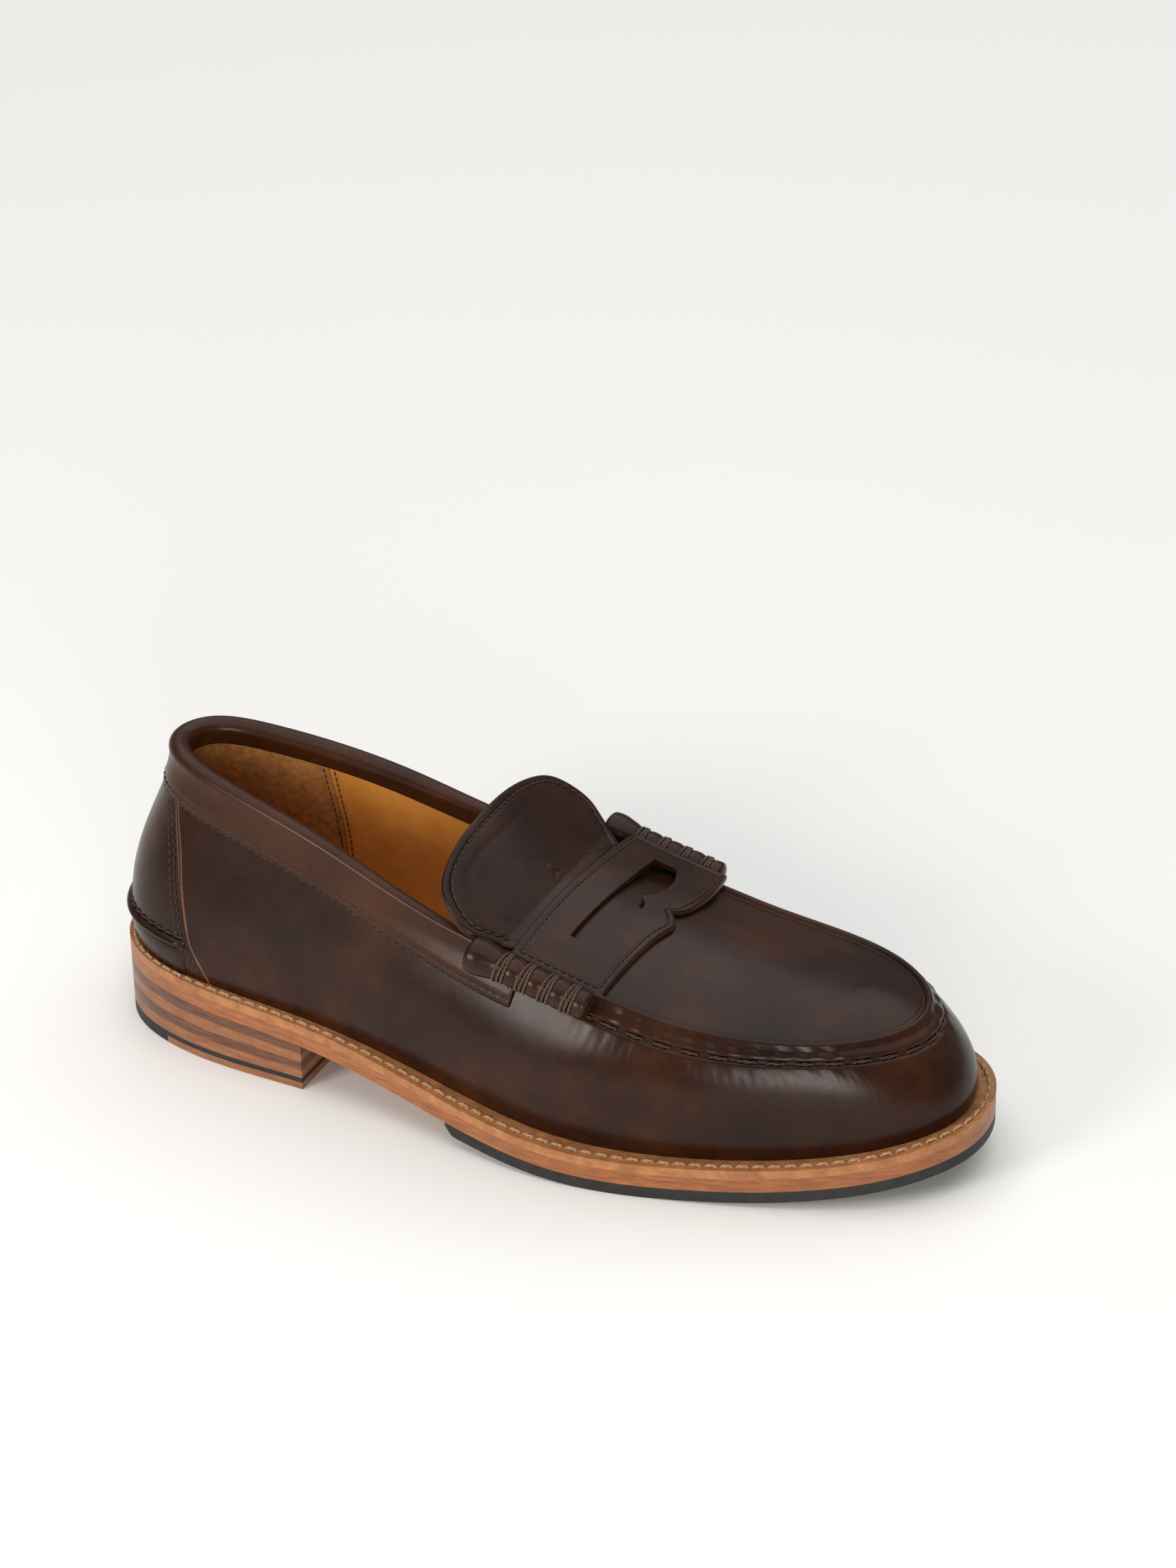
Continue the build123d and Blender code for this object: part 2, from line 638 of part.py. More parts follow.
with BuildPart() as saddle_strap:
    add(instep_slab(STRAP_LIFT, STRAP_LIFT + STRAP, 108, 158))
    with BuildSketch() as strap_plan:
        with BuildLine():
            rear = plan(STRAP_REAR)
            ogee = plan(STRAP_FRONT)
            Line(rear[0], rear[1])
            Line(rear[1], ogee[-1])
            Spline(*ogee[3:])
            Spline(*ogee[:4])
            Line(ogee[0], rear[0])
        make_face()
        with BuildLine():
            slot_rear = plan(SLOT_REAR)
            slot_front = plan(SLOT_FRONT)
            Line(slot_rear[0], slot_rear[1])
            Line(slot_rear[1], slot_front[-1])
            Spline(*slot_front[3:])
            Spline(*slot_front[:4])
            Line(slot_front[0], slot_rear[0])
        make_face(mode=Mode.SUBTRACT)
    extrude(strap_plan.sketch, amount=TALL, both=True, mode=Mode.INTERSECT)
save(saddle_strap, "saddle_strap")

for label, roll_ends in ROLLS.items():
    start, end = (Vector(x * LENGTH_SCALE, y * WIDTH_SCALE, z) for x, y, z in roll_ends)
    along = (end - start).normalized()
    length = (end - start).length
    roll_plane = Plane(origin=start, x_dir=(0, 1, 0), z_dir=along)
    with BuildPart() as beef_roll:
        with BuildSketch(Plane(origin=start, x_dir=along, z_dir=(0, 1, 0))):
            with BuildLine():
                Line((0, 0), (0, ROLL_R - ROLL_EDGE))
                RadiusArc((0, ROLL_R - ROLL_EDGE), (ROLL_EDGE, ROLL_R), ROLL_EDGE)
                reached = ROLL_EDGE
                for wrap in range(WRAPS):
                    middle = length * (WRAP_START + WRAP_STEP * wrap)
                    Line((reached, ROLL_R), (middle - WAIST_HALF, ROLL_R))
                    reached = middle + WAIST_HALF
                    ThreePointArc((middle - WAIST_HALF, ROLL_R), (middle, ROLL_R + WAIST_OUT - WAIST_R),
                                  (reached, ROLL_R))
                Line((reached, ROLL_R), (length - ROLL_EDGE, ROLL_R))
                RadiusArc((length - ROLL_EDGE, ROLL_R), (length, ROLL_R - ROLL_EDGE), ROLL_EDGE)
                Line((length, ROLL_R - ROLL_EDGE), (length, 0))
                Line((length, 0), (0, 0))
            make_face()
        revolve(axis=Axis(start, along))
    save(beef_roll, f"beef_roll_{label}")
    with BuildPart() as roll_thread:
        for wrap in range(WRAPS):
            for strand in range(STRANDS):
                shift = length * (WRAP_START + WRAP_STEP * wrap) + (strand - 1) * (2 * WRAP_R + STRAND_GAP)
                with Locations(roll_plane.offset(shift)):
                    Torus(ROLL_R + (0.12 if strand != 1 else -0.1), WRAP_R)
    save(roll_thread, f"roll_thread_{label}")

# ---------------------------------------------------------------- tongue
TONGUE_PLANE = Plane(
    origin=(TONGUE_BASE_X * LENGTH_SCALE, CREST_Y, TONGUE_BASE_Z),
    x_dir=(0, 1, 0),
    z_dir=(math.sin(math.radians(TONGUE_TILT)), 0, math.cos(math.radians(TONGUE_TILT))),
)
TONGUE_EDGE = [(33.5, 0.0), (36.5, 5), (40.5, 11), (39.5, 18), (35, 23.5), (26, 27.5), (14, 29.8), (0, 30.4)]


def tongue_layer(high, low):
    """Curved sheet of the tongue between two distances along its normal."""
    edge = [(x * WIDTH_SCALE, y) for x, y in TONGUE_EDGE]
    with BuildSketch(TONGUE_PLANE) as outline:
        with BuildLine():
            Line(edge[0], (-edge[0][0], 0))
            Spline(*[(-x, y) for x, y in edge], *reversed(edge[:-1]))
        make_face()
    across = Plane(origin=TONGUE_PLANE.origin, x_dir=(0, 1, 0), z_dir=TONGUE_PLANE.y_dir)
    radius = TONGUE_CROWN_R
    with BuildSketch(across) as band:
        with Locations((0, radius)):
            Circle(radius - low)
            Circle(radius - high, mode=Mode.SUBTRACT)
    extrude(band.sketch, amount=60, both=True)
    extrude(outline.sketch, amount=20, both=True, mode=Mode.INTERSECT)


with BuildPart() as tongue:
    tongue_layer(0, -TONGUE)
save(tongue, "tongue")

with BuildPart() as tongue_lining:
    tongue_layer(-TONGUE - FIT / 2, -TONGUE - FIT / 2 - TONGUE_LINING)
save(tongue_lining, "tongue_lining")

# ---------------------------------------------------------------- stitching
OUTLINE_LENGTH = OUTLINE.length
count = int(OUTLINE_LENGTH / STITCH_PITCH)
STITCH_INSET = 0.38  # share of the welt width between its edge and the stitches
with BuildPart() as welt_stitches:
    for number in range(count):
        here = OUTLINE @ (number / count)
        along = OUTLINE % (number / count)
        inward = Vector(-along.Y, along.X, 0)
        knot = max(k for k in range(len(ROWS)) if KNOTS[k] <= number / count)
        between = (number / count - KNOTS[knot]) / (KNOTS[knot + 1] - KNOTS[knot])
        width = ROWS[knot].welt + (ROWS[(knot + 1) % len(ROWS)].welt - ROWS[knot].welt) * between
        spot = here + inward * width * STITCH_INSET
        height = sole_height(spot.X / LENGTH_SCALE) + OUTSOLE + WELT + STITCH_R + 0.35
        ahead = spot + along * 2
        climb = sole_height(ahead.X / LENGTH_SCALE) - sole_height(spot.X / LENGTH_SCALE)
        lie = Vector(along.X * 2, along.Y * 2, climb).normalized()
        with Locations(Plane(origin=(spot.X, spot.Y, height), z_dir=lie)):
            Cylinder(STITCH_R, STITCH_LENGTH)
save(welt_stitches, "welt_stitches")
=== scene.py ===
"""Looks of the right-foot loafer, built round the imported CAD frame. Metres; helpers work in mm."""
import math

import bmesh
import bpy
import numpy as np
from mathutils import Matrix, Vector


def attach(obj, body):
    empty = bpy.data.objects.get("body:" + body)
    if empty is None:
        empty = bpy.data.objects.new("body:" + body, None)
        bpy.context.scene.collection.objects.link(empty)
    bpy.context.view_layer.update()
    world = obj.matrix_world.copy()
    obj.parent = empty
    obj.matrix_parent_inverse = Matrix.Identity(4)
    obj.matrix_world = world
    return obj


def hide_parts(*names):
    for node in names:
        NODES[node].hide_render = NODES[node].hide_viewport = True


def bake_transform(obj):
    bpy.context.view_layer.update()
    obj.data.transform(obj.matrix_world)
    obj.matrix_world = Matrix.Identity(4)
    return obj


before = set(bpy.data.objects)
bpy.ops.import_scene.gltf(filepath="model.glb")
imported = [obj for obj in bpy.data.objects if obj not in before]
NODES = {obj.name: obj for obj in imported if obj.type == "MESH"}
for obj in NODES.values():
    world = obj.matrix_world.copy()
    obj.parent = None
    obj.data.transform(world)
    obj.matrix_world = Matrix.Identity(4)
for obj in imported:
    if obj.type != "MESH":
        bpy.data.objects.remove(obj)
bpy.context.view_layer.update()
MM = 0.001
rng = np.random.default_rng(7)

# ---------------------------------------------------------------- the upper's driving shape
# x, y, welt, top x, top y, top z, lean, rise, angle, run: the same stations as the frame.
STATIONS = np.array([
    (-38, 0, 3.5, -21, 0, 93, 9, 26, 84, 18),
    (-29, -24.5, 3.5, -15, -12, 92.5, 7, 24, 84, 17),
    (0, -38, 3.5, 4, -20, 89, 4, 20, 82, 18),
    (45, -42, 4.5, 45, -27, 79.5, 4, 20, 78, 18),
    (92, -50, 6.5, 92, -33.5, 65, 6, 18, 66, 17),
    (132, -56, 7.0, 138, -38, 57.5, 6, 17, 46, 16),
    (172, -50.2, 6.0, 168, -36.5, 51.5, 5, 15, 36, 13),
    (212, -38, 6.0, 198, -29, 48.5, 4, 13, 30, 11),
    (238, -23.5, 6.0, 218, -17, 47.5, 3, 12, 28, 10),
    (251, -6, 6.0, 229, -2, 47, 3, 11, 28, 9),
    (251, 14, 6.0, 229, 14, 47, 3, 11, 28, 9),
    (240, 33, 6.0, 219, 27, 47.5, 3, 12, 28, 9),
    (214, 48.5, 6.0, 199, 36, 48.5, 3, 12, 30, 10),
    (176, 53.5, 5.5, 168, 38.5, 51.5, 3, 13, 36, 12),
    (132, 47, 5.0, 136, 38, 57.5, 4, 15, 46, 14),
    (90, 36, 4.5, 92, 32.5, 65, 5, 17, 66, 16),
    (45, 35.5, 3.5, 45, 27, 79.5, 5, 20, 78, 17),
    (0, 38, 3.5, 4, 20, 89, 4, 20, 82, 17),
    (-29, 24.5, 3.5, -15, 12, 92.5, 7, 24, 84, 17),
], float)
# x, z of the outsole's underside; x, z and fall to the side of the instep's crest.
SOLE_LINE = np.array([(-46, 20.5), (0, 19), (40, 16), (92, 8.6), (140, 4.0), (180, 4.4), (220, 8.2),
                      (262, 17.2)])
INSTEP_LINE = np.array([(100, 73.5, 6), (113, 69.3, 5), (130, 64.4, 4.6), (146, 60.4, 4.6), (168, 56.0, 4.6),
                        (198, 52.8, 5.0), (218, 50.6, 6.0), (240, 46.0, 8.0)])
WELT_TOP = 7.6  # outsole and welt together
WALL = 1.7
CREST_Y = 2.0
CREST_REACH = 38.0


def periodic(knots, values, at):
    """Periodic cubic spline through values at knots (first value repeated at the end)."""
    n = len(knots) - 1
    h = np.diff(knots)
    flat = values.reshape(len(values), -1)
    matrix = np.zeros((n, n))
    right = np.zeros((n, flat.shape[1]))
    for i in range(n):
        before = h[i - 1]
        after = h[i]
        matrix[i, (i - 1) % n] += before
        matrix[i, i] += 2 * (before + after)
        matrix[i, (i + 1) % n] += after
        right[i] = 6 * ((flat[(i + 1) % n] - flat[i]) / after - (flat[i] - flat[(i - 1) % n]) / before)
    bend = np.linalg.solve(matrix, right)
    at = np.mod(at, knots[-1])
    k = np.clip(np.searchsorted(knots, at, side="right") - 1, 0, n - 1)
    span = h[k][:, None]
    a = (knots[k + 1] - at)[:, None] / span
    b = 1 - a
    nxt = (k + 1) % n
    out = a * flat[k] + b * flat[nxt] + ((a**3 - a) * bend[k] + (b**3 - b) * bend[nxt]) * span**2 / 6
    return out.reshape((len(at),) + values.shape[1:])


def natural(x, y, at):
    """Natural cubic spline, held straight past its ends."""
    n = len(x)
    h = np.diff(x)
    matrix = np.eye(n)
    right = np.zeros(n)
    for i in range(1, n - 1):
        matrix[i, i - 1:i + 2] = (h[i - 1], 2 * (h[i - 1] + h[i]), h[i])
        right[i] = 6 * ((y[i + 1] - y[i]) / h[i] - (y[i] - y[i - 1]) / h[i - 1])
    bend = np.linalg.solve(matrix, right)
    at = np.asarray(at, float)
    k = np.clip(np.searchsorted(x, at, side="right") - 1, 0, n - 2)
    a = (x[k + 1] - at) / h[k]
    b = 1 - a
    return a * y[k] + b * y[k + 1] + ((a**3 - a) * bend[k] + (b**3 - b) * bend[k + 1]) * h[k]**2 / 6


def sole_height(x):
    """Height of the sole's underside."""
    return natural(SOLE_LINE[:, 0], SOLE_LINE[:, 1], x)


def crest_height(x):
    """Height of the instep along its crest line."""
    return natural(INSTEP_LINE[:, 0], INSTEP_LINE[:, 1], x)


def crest_fall(x):
    """How far the instep falls CREST_REACH to the side of its crest."""
    return natural(INSTEP_LINE[:, 0], INSTEP_LINE[:, 2], x)


LOOP = np.vstack([STATIONS, STATIONS[:1]])
KNOTS = np.concatenate([[0], np.cumsum(np.linalg.norm(np.diff(LOOP[:, :2], axis=0), axis=1))])
TOTAL = KNOTS[-1]


def outline(at):
    """Edge of the sole in plan."""
    return periodic(KNOTS, LOOP[:, :2], np.asarray(at, float))


STEP = 0.01
TANGENTS = outline(KNOTS[:-1] + STEP) - outline(KNOTS[:-1] - STEP)
TANGENTS /= np.linalg.norm(TANGENTS, axis=1)[:, None]
NORMALS = np.column_stack([TANGENTS[:, 1], -TANGENTS[:, 0]])
FEATHER = STATIONS[:, :2] - NORMALS * STATIONS[:, 2:3]


class Wall:
    """Outer face of the upper: P[s, t] points and N[s, t] normals, s round the shoe, t up it."""

    S_COUNT = 1300
    T_COUNT = 141
    T_END = 1.04  # the table runs a little past the top edge

    def __init__(self):
        t = np.linspace(0, self.T_END, self.T_COUNT)
        rows = []
        for foot, row in zip(FEATHER, STATIONS):
            top = row[3:5]
            away = foot - top
            inward = np.linalg.norm(away)
            away = away / inward
            base = sole_height(foot[0]) + WELT_TOP
            height = row[5] - base
            angle = math.radians(row[8])
            control = np.array([(0, 0), (row[6], row[7]),
                                (-inward + row[9] * math.cos(angle), height - row[9] * math.sin(angle)),
                                (-inward, height)])
            r = 1 - t
            weights = np.column_stack([r**3, 3 * r**2 * t, 3 * r * t**2, t**3])
            out_up = weights @ control
            rows.append(np.column_stack([foot[0] + out_up[:, 0] * away[0], foot[1] + out_up[:, 0] * away[1],
                                         base + out_up[:, 1]]))
        rows = np.array(rows + rows[:1])
        self.s = np.linspace(0, TOTAL, self.S_COUNT)
        self.t = t
        self.P = periodic(KNOTS, rows, self.s)
        along = np.gradient(self.P, axis=0)
        along[0] = along[-1] = self.P[1] - self.P[-2]
        up = np.gradient(self.P, axis=1)
        normal = np.cross(along, up)
        self.N = normal / np.linalg.norm(normal, axis=2)[:, :, None]
        steps = np.linalg.norm(np.diff(self.P, axis=1), axis=2)
        self.length = np.concatenate([np.zeros((len(self.s), 1)), np.cumsum(steps, axis=1)], axis=1)

    def at(self, s, t):
        """Points and normals at matching arrays of s (mm along the outline) and t."""
        u = np.mod(s, TOTAL) / TOTAL * (self.S_COUNT - 1)
        v = np.clip(t / self.t[-1], 0, 1) * (self.T_COUNT - 1)
        i = np.clip(u.astype(int), 0, self.S_COUNT - 2)
        j = np.clip(v.astype(int), 0, self.T_COUNT - 2)
        fu = (u - i)[..., None]
        fv = (v - j)[..., None]
        found = []
        for field in (self.P, self.N):
            found.append(field[i, j] * (1 - fu) * (1 - fv) + field[i + 1, j] * fu * (1 - fv)
                         + field[i, j + 1] * (1 - fu) * fv + field[i + 1, j + 1] * fu * fv)
        normal = found[1] / np.linalg.norm(found[1], axis=-1)[..., None]
        return found[0], normal

    def share(self, s, distance, from_top=True):
        """t of the point a distance in mm below the top edge, or above the welt."""
        s = np.asarray(s, float)
        distance = np.broadcast_to(distance, s.shape)
        out = np.empty(s.shape)
        top = (1 / self.t[-1]) * (self.T_COUNT - 1)
        for k in np.ndindex(s.shape):
            i = int(round((s[k] % TOTAL) / TOTAL * (self.S_COUNT - 1)))
            line = self.length[i]
            whole = np.interp(top, np.arange(self.T_COUNT), line)
            goal = whole - distance[k] if from_top else distance[k]
            out[k] = np.interp(goal, line, self.t)
        return out


WALL_FACE = Wall()


def nearest_s(x, side, t=0.5):
    """s where the wall at share t passes x on the outer (-1) or inner (+1) side."""
    line, _ = WALL_FACE.at(WALL_FACE.s, np.full(len(WALL_FACE.s), t))
    keep = line[:, 1] * side > 0
    return WALL_FACE.s[keep][np.argmin(np.abs(line[keep, 0] - x))]


# ---------------------------------------------------------------- mesh helpers
TINY = 1e-9  # keeps a division away from zero


def make_object(name, verts, faces, material, smooth=True):
    mesh = bpy.data.meshes.new(name)
    mesh.from_pydata([tuple(v) for v in np.asarray(verts) * MM], [], [tuple(int(i) for i in f) for f in faces])
    mesh.validate()
    mesh.polygons.foreach_set("use_smooth", [smooth] * len(mesh.polygons))
    bm = bmesh.new()
    bm.from_mesh(mesh)
    bmesh.ops.recalc_face_normals(bm, faces=bm.faces)
    bm.to_mesh(mesh)
    bm.free()
    mesh.materials.append(material)
    piece = bpy.data.objects.new(name, mesh)
    bpy.context.collection.objects.link(piece)
    return piece


def grid_faces(rows, cols, offset=0, close_rows=False, close_cols=False):
    faces = []
    for i in range(rows if close_rows else rows - 1):
        for j in range(cols if close_cols else cols - 1):
            a = offset + i * cols + j
            b = offset + i * cols + (j + 1) % cols
            c = offset + ((i + 1) % rows) * cols + (j + 1) % cols
            d = offset + ((i + 1) % rows) * cols + j
            faces.append((a, b, c, d))
    return faces


def shell(outer, inner):
    """Closed mesh between two matching grids of points."""
    rows, cols = outer.shape[:2]
    count = rows * cols
    verts = np.vstack([outer.reshape(-1, 3), inner.reshape(-1, 3)])
    faces = grid_faces(rows, cols) + grid_faces(rows, cols, count)
    for i in range(rows - 1):
        for j in (0, cols - 1):
            a = i * cols + j
            faces.append((a, a + cols, a + cols + count, a + count))
    for j in range(cols - 1):
        for i in (0, rows - 1):
            a = i * cols + j
            faces.append((a, a + 1, a + 1 + count, a + count))
    return verts, faces


def grid_normals(points):
    along = np.gradient(points, axis=0)
    across = np.gradient(points, axis=1)
    normal = np.cross(along, across)
    return normal / np.maximum(np.linalg.norm(normal, axis=2), TINY)[:, :, None]


class Bundle:
    """Collects many small solids into one mesh."""

    def __init__(self):
        self.verts = []
        self.faces = []
        self.size = 0

    def add(self, verts, faces):
        self.verts.append(np.asarray(verts))
        self.faces.extend(tuple(i + self.size for i in face) for face in faces)
        self.size += len(verts)

    def build(self, name, material):
        return make_object(name, np.vstack(self.verts), self.faces, material)


def tangents(path, closed=False):
    """Unit directions along a polyline."""
    if closed:
        ahead = np.roll(path, -1, axis=0) - np.roll(path, 1, axis=0)
    else:
        ahead = np.gradient(path, axis=0)
    return ahead / np.maximum(np.linalg.norm(ahead, axis=1), TINY)[:, None]


def tube(path, radius, ups, sides=8, closed=False):
    """Tube round a polyline; radius may vary along it; ups are rough normals."""
    tangent = tangents(path, closed)
    ups = ups - np.sum(ups * tangent, axis=1)[:, None] * tangent
    ups /= np.maximum(np.linalg.norm(ups, axis=1), TINY)[:, None]
    side = np.cross(tangent, ups)
    radius = np.broadcast_to(radius, (len(path),))
    turn = np.linspace(0, 2 * math.pi, sides, endpoint=False)
    ring = np.cos(turn)[None, :, None] * side[:, None] + np.sin(turn)[None, :, None] * ups[:, None]
    verts = (path[:, None] + radius[:, None, None] * ring).reshape(-1, 3)
    faces = grid_faces(len(path), sides, close_rows=closed, close_cols=True)
    if not closed:
        faces += end_caps(len(path), sides)
    return verts, faces


def end_caps(rings, sides):
    """Faces that close the first and the last ring of a tube."""
    return [tuple(range(sides))[::-1], tuple((rings - 1) * sides + k for k in range(sides))]


def lengths_along(path):
    """Distance walked to each point of a polyline."""
    return np.concatenate([[0], np.cumsum(np.linalg.norm(np.diff(path, axis=0), axis=1))])


def along_path(path, normal, distance):
    """Points and unit normals at distances along a polyline."""
    walked = lengths_along(path)
    point = np.column_stack([np.interp(distance, walked, path[:, k]) for k in range(3)])
    up = np.column_stack([np.interp(distance, walked, normal[:, k]) for k in range(3)])
    return point, up / np.linalg.norm(up, axis=1)[:, None]


# Shape of one stitch, as shares of the thread's radius unless a comment says otherwise.
STITCH_RISE = 1.5
STITCH_BURY = 0.9
STITCH_END = 0.62  # thickness at the two ends, as a share of the middle
STITCH_JITTER = 0.03  # spread of the stitch length, as a share of it
STITCH_SIDES = 7
PLY_THICK = 0.62
PLY_ASIDE = 0.55
PLY_RISE = 0.45
PLY_TURN = 3.6  # half of the twist along one stitch, in radians


def stitches(bundle, path, normal, pitch, length, radius, strands=1, rings=7):
    """A row of thread stitches along a path; each dips into the leather at its two ends."""
    whole = lengths_along(path)[-1]
    count = int(whole / pitch)
    share = np.linspace(-1, 1, rings)
    arch = np.sqrt(np.clip(1 - np.abs(share) ** 3, 0, 1))
    height = radius * (STITCH_RISE * arch - STITCH_BURY)
    thick = radius * (STITCH_END + (1 - STITCH_END) * arch)
    for number in range(count):
        middle = (number + 0.5) * whole / count
        where = middle + share * length * (1 + rng.normal(0, STITCH_JITTER)) / 2
        point, up = along_path(path, normal, np.clip(where, 0, whole))
        side = np.cross(tangents(point), up)
        if strands == 1:
            bundle.add(*tube(point + up * height[:, None], thick, up, STITCH_SIDES))
            continue
        for strand in range(strands):
            phase = 2 * math.pi * strand / strands + share * PLY_TURN
            aside = np.cos(phase) * radius * PLY_ASIDE
            rise = height + np.sin(phase) * radius * PLY_RISE
            line = point + up * rise[:, None] + side * aside[:, None]
            bundle.add(*tube(line, thick * PLY_THICK, up, STITCH_SIDES))


# ---------------------------------------------------------------- materials
def new_material(name):
    """A material, its node tree, its shader and its object coordinates."""
    material = bpy.data.materials.new(name)
    material.use_nodes = True
    tree = material.node_tree
    place = tree.nodes.new("ShaderNodeTexCoord").outputs["Object"]
    return material, tree, tree.nodes["Principled BSDF"], place


def link(tree, a, b):
    tree.links.new(a, b)


def texture(tree, kind, scale, coordinates, **values):
    node = tree.nodes.new(kind)
    link(tree, coordinates, node.inputs["Vector"])
    node.inputs["Scale"].default_value = scale
    for key, value in values.items():
        node.inputs[key.replace("_", " ")].default_value = value
    return node


def ramp(tree, source, stops):
    node = tree.nodes.new("ShaderNodeValToRGB")
    link(tree, source, node.inputs["Fac"])
    elements = node.color_ramp.elements
    while len(elements) < len(stops):
        elements.new(0.5)
    for element, (position, colour) in zip(elements, stops):
        element.position = position
        element.color = (*colour, 1)
    return node


def mix(tree, factor, a, b, mode="MIX"):
    node = tree.nodes.new("ShaderNodeMix")
    node.data_type = "RGBA"
    node.blend_type = mode
    for socket, value in ((node.inputs[0], factor), (node.inputs[6], a), (node.inputs[7], b)):
        if isinstance(value, (int, float)):
            socket.default_value = value
        elif isinstance(value, tuple):
            socket.default_value = (*value, 1)
        else:
            link(tree, value, socket)
    return node.outputs[2]


def bump(tree, shader, layers):
    """Chains bump nodes: each layer is (height socket, strength, distance in metres)."""
    last = None
    for height, strength, distance in layers:
        node = tree.nodes.new("ShaderNodeBump")
        node.inputs["Strength"].default_value = strength
        node.inputs["Distance"].default_value = distance
        link(tree, height, node.inputs["Height"])
        if last is not None:
            link(tree, last, node.inputs["Normal"])
        last = node.outputs["Normal"]
    link(tree, last, shader.inputs["Normal"])


def dark_leather(name, low, mid, high, rough, coat):
    """Polished pull-up leather: cloudy colour, fine pores, faint creases, uneven gloss."""
    material, tree, shader, place = new_material(name)
    cloud = texture(tree, "ShaderNodeTexNoise", 28, place, Detail=5, Roughness=0.6)
    fine = texture(tree, "ShaderNodeTexNoise", 420, place, Detail=6, Roughness=0.7)
    base = ramp(tree, cloud.outputs["Fac"], [(0.3, low), (0.52, mid), (0.75, high)])
    specks = ramp(tree, fine.outputs["Fac"], [(0.35, (0.72, 0.70, 0.70)), (0.62, (1.12, 1.10, 1.08))])
    colour = mix(tree, 0.32, base.outputs["Color"], specks.outputs["Color"], "MULTIPLY")
    link(tree, colour, shader.inputs["Base Color"])
    gloss = texture(tree, "ShaderNodeTexNoise", 60, place, Detail=4, Roughness=0.55)
    spread = tree.nodes.new("ShaderNodeMapRange")
    spread.inputs["From Min"].default_value = 0.3
    spread.inputs["From Max"].default_value = 0.7
    spread.inputs["To Min"].default_value = rough[0]
    spread.inputs["To Max"].default_value = rough[1]
    link(tree, gloss.outputs["Fac"], spread.inputs["Value"])
    link(tree, spread.outputs["Result"], shader.inputs["Roughness"])
    shader.inputs["Coat Weight"].default_value = coat
    shader.inputs["Coat Roughness"].default_value = 0.18
    shader.inputs["Specular IOR Level"].default_value = 0.2
    pores = texture(tree, "ShaderNodeTexVoronoi", 1500, place)
    wrinkle = texture(tree, "ShaderNodeTexNoise", 150, place, Detail=7, Roughness=0.72, Distortion=0.6)
    bump(tree, shader, [(wrinkle.outputs["Fac"], 0.10, 0.0006), (fine.outputs["Fac"], 0.10, 0.00025),
                        (pores.outputs["Distance"], 0.05, 0.00012)])
    return material


def tan_leather(name, low, mid, high, rough=0.5, grain=90, stretch=(1, 1, 1), strength=0.3):
    """Undyed or lightly dyed leather: grain that may be stretched along one axis, and broad shading."""
    material, tree, shader, place = new_material(name)
    mapping = tree.nodes.new("ShaderNodeMapping")
    mapping.inputs["Scale"].default_value = stretch
    link(tree, place, mapping.inputs["Vector"])
    cloud = texture(tree, "ShaderNodeTexNoise", grain, mapping.outputs["Vector"], Detail=8, Roughness=0.65)
    wide = texture(tree, "ShaderNodeTexNoise", 18, place, Detail=3, Roughness=0.5)
    base = ramp(tree, cloud.outputs["Fac"], [(0.32, low), (0.5, mid), (0.7, high)])
    shade = ramp(tree, wide.outputs["Fac"], [(0.3, (0.86, 0.84, 0.82)), (0.7, (1.08, 1.07, 1.05))])
    colour = mix(tree, 0.7, base.outputs["Color"], shade.outputs["Color"], "MULTIPLY")
    link(tree, colour, shader.inputs["Base Color"])
    shader.inputs["Roughness"].default_value = rough
    fine = texture(tree, "ShaderNodeTexNoise", 900, place, Detail=4, Roughness=0.6)
    bump(tree, shader, [(cloud.outputs["Fac"], strength, 0.0004),
                        (fine.outputs["Fac"], strength * 0.6, 0.0002)])
    return material


def suede_material():
    """Brushed lining leather with a deep nap and patches where the nap lies the other way."""
    material, tree, shader, place = new_material("suede")
    nap = texture(tree, "ShaderNodeTexNoise", 380, place, Detail=9, Roughness=0.75)
    patch = texture(tree, "ShaderNodeTexNoise", 70, place, Detail=5, Roughness=0.6)
    base = ramp(tree, nap.outputs["Fac"], [(0.3, (0.26, 0.095, 0.016)), (0.5, (0.50, 0.205, 0.036)),
                                           (0.72, (0.74, 0.36, 0.075))])
    tone = ramp(tree, patch.outputs["Fac"], [(0.3, (0.75, 0.72, 0.7)), (0.7, (1.15, 1.12, 1.08))])
    colour = mix(tree, 0.8, base.outputs["Color"], tone.outputs["Color"], "MULTIPLY")
    link(tree, colour, shader.inputs["Base Color"])
    shader.inputs["Roughness"].default_value = 0.95
    shader.inputs["Sheen Weight"].default_value = 0.08
    shader.inputs["Sheen Roughness"].default_value = 0.6
    bump(tree, shader, [(nap.outputs["Fac"], 0.9, 0.0009), (patch.outputs["Fac"], 0.4, 0.0008)])
    return material


def stacked_leather(name, low, mid, high):
    """Cut edge of sole leather: burnished, with fine level streaks."""
    return tan_leather(name, low, mid, high, rough=0.38, grain=420, stretch=(0.30, 0.30, 2.6), strength=0.35)


def rubber_material():
    """Matt black rubber with a little dust."""
    material, tree, shader, place = new_material("rubber")
    dust = texture(tree, "ShaderNodeTexNoise", 240, place, Detail=6, Roughness=0.7)
    base = ramp(tree, dust.outputs["Fac"], [(0.35, (0.006, 0.006, 0.006)), (0.7, (0.016, 0.016, 0.016))])
    link(tree, base.outputs["Color"], shader.inputs["Base Color"])
    shader.inputs["Roughness"].default_value = 0.62
    bump(tree, shader, [(dust.outputs["Fac"], 0.5, 0.0003)])
    return material


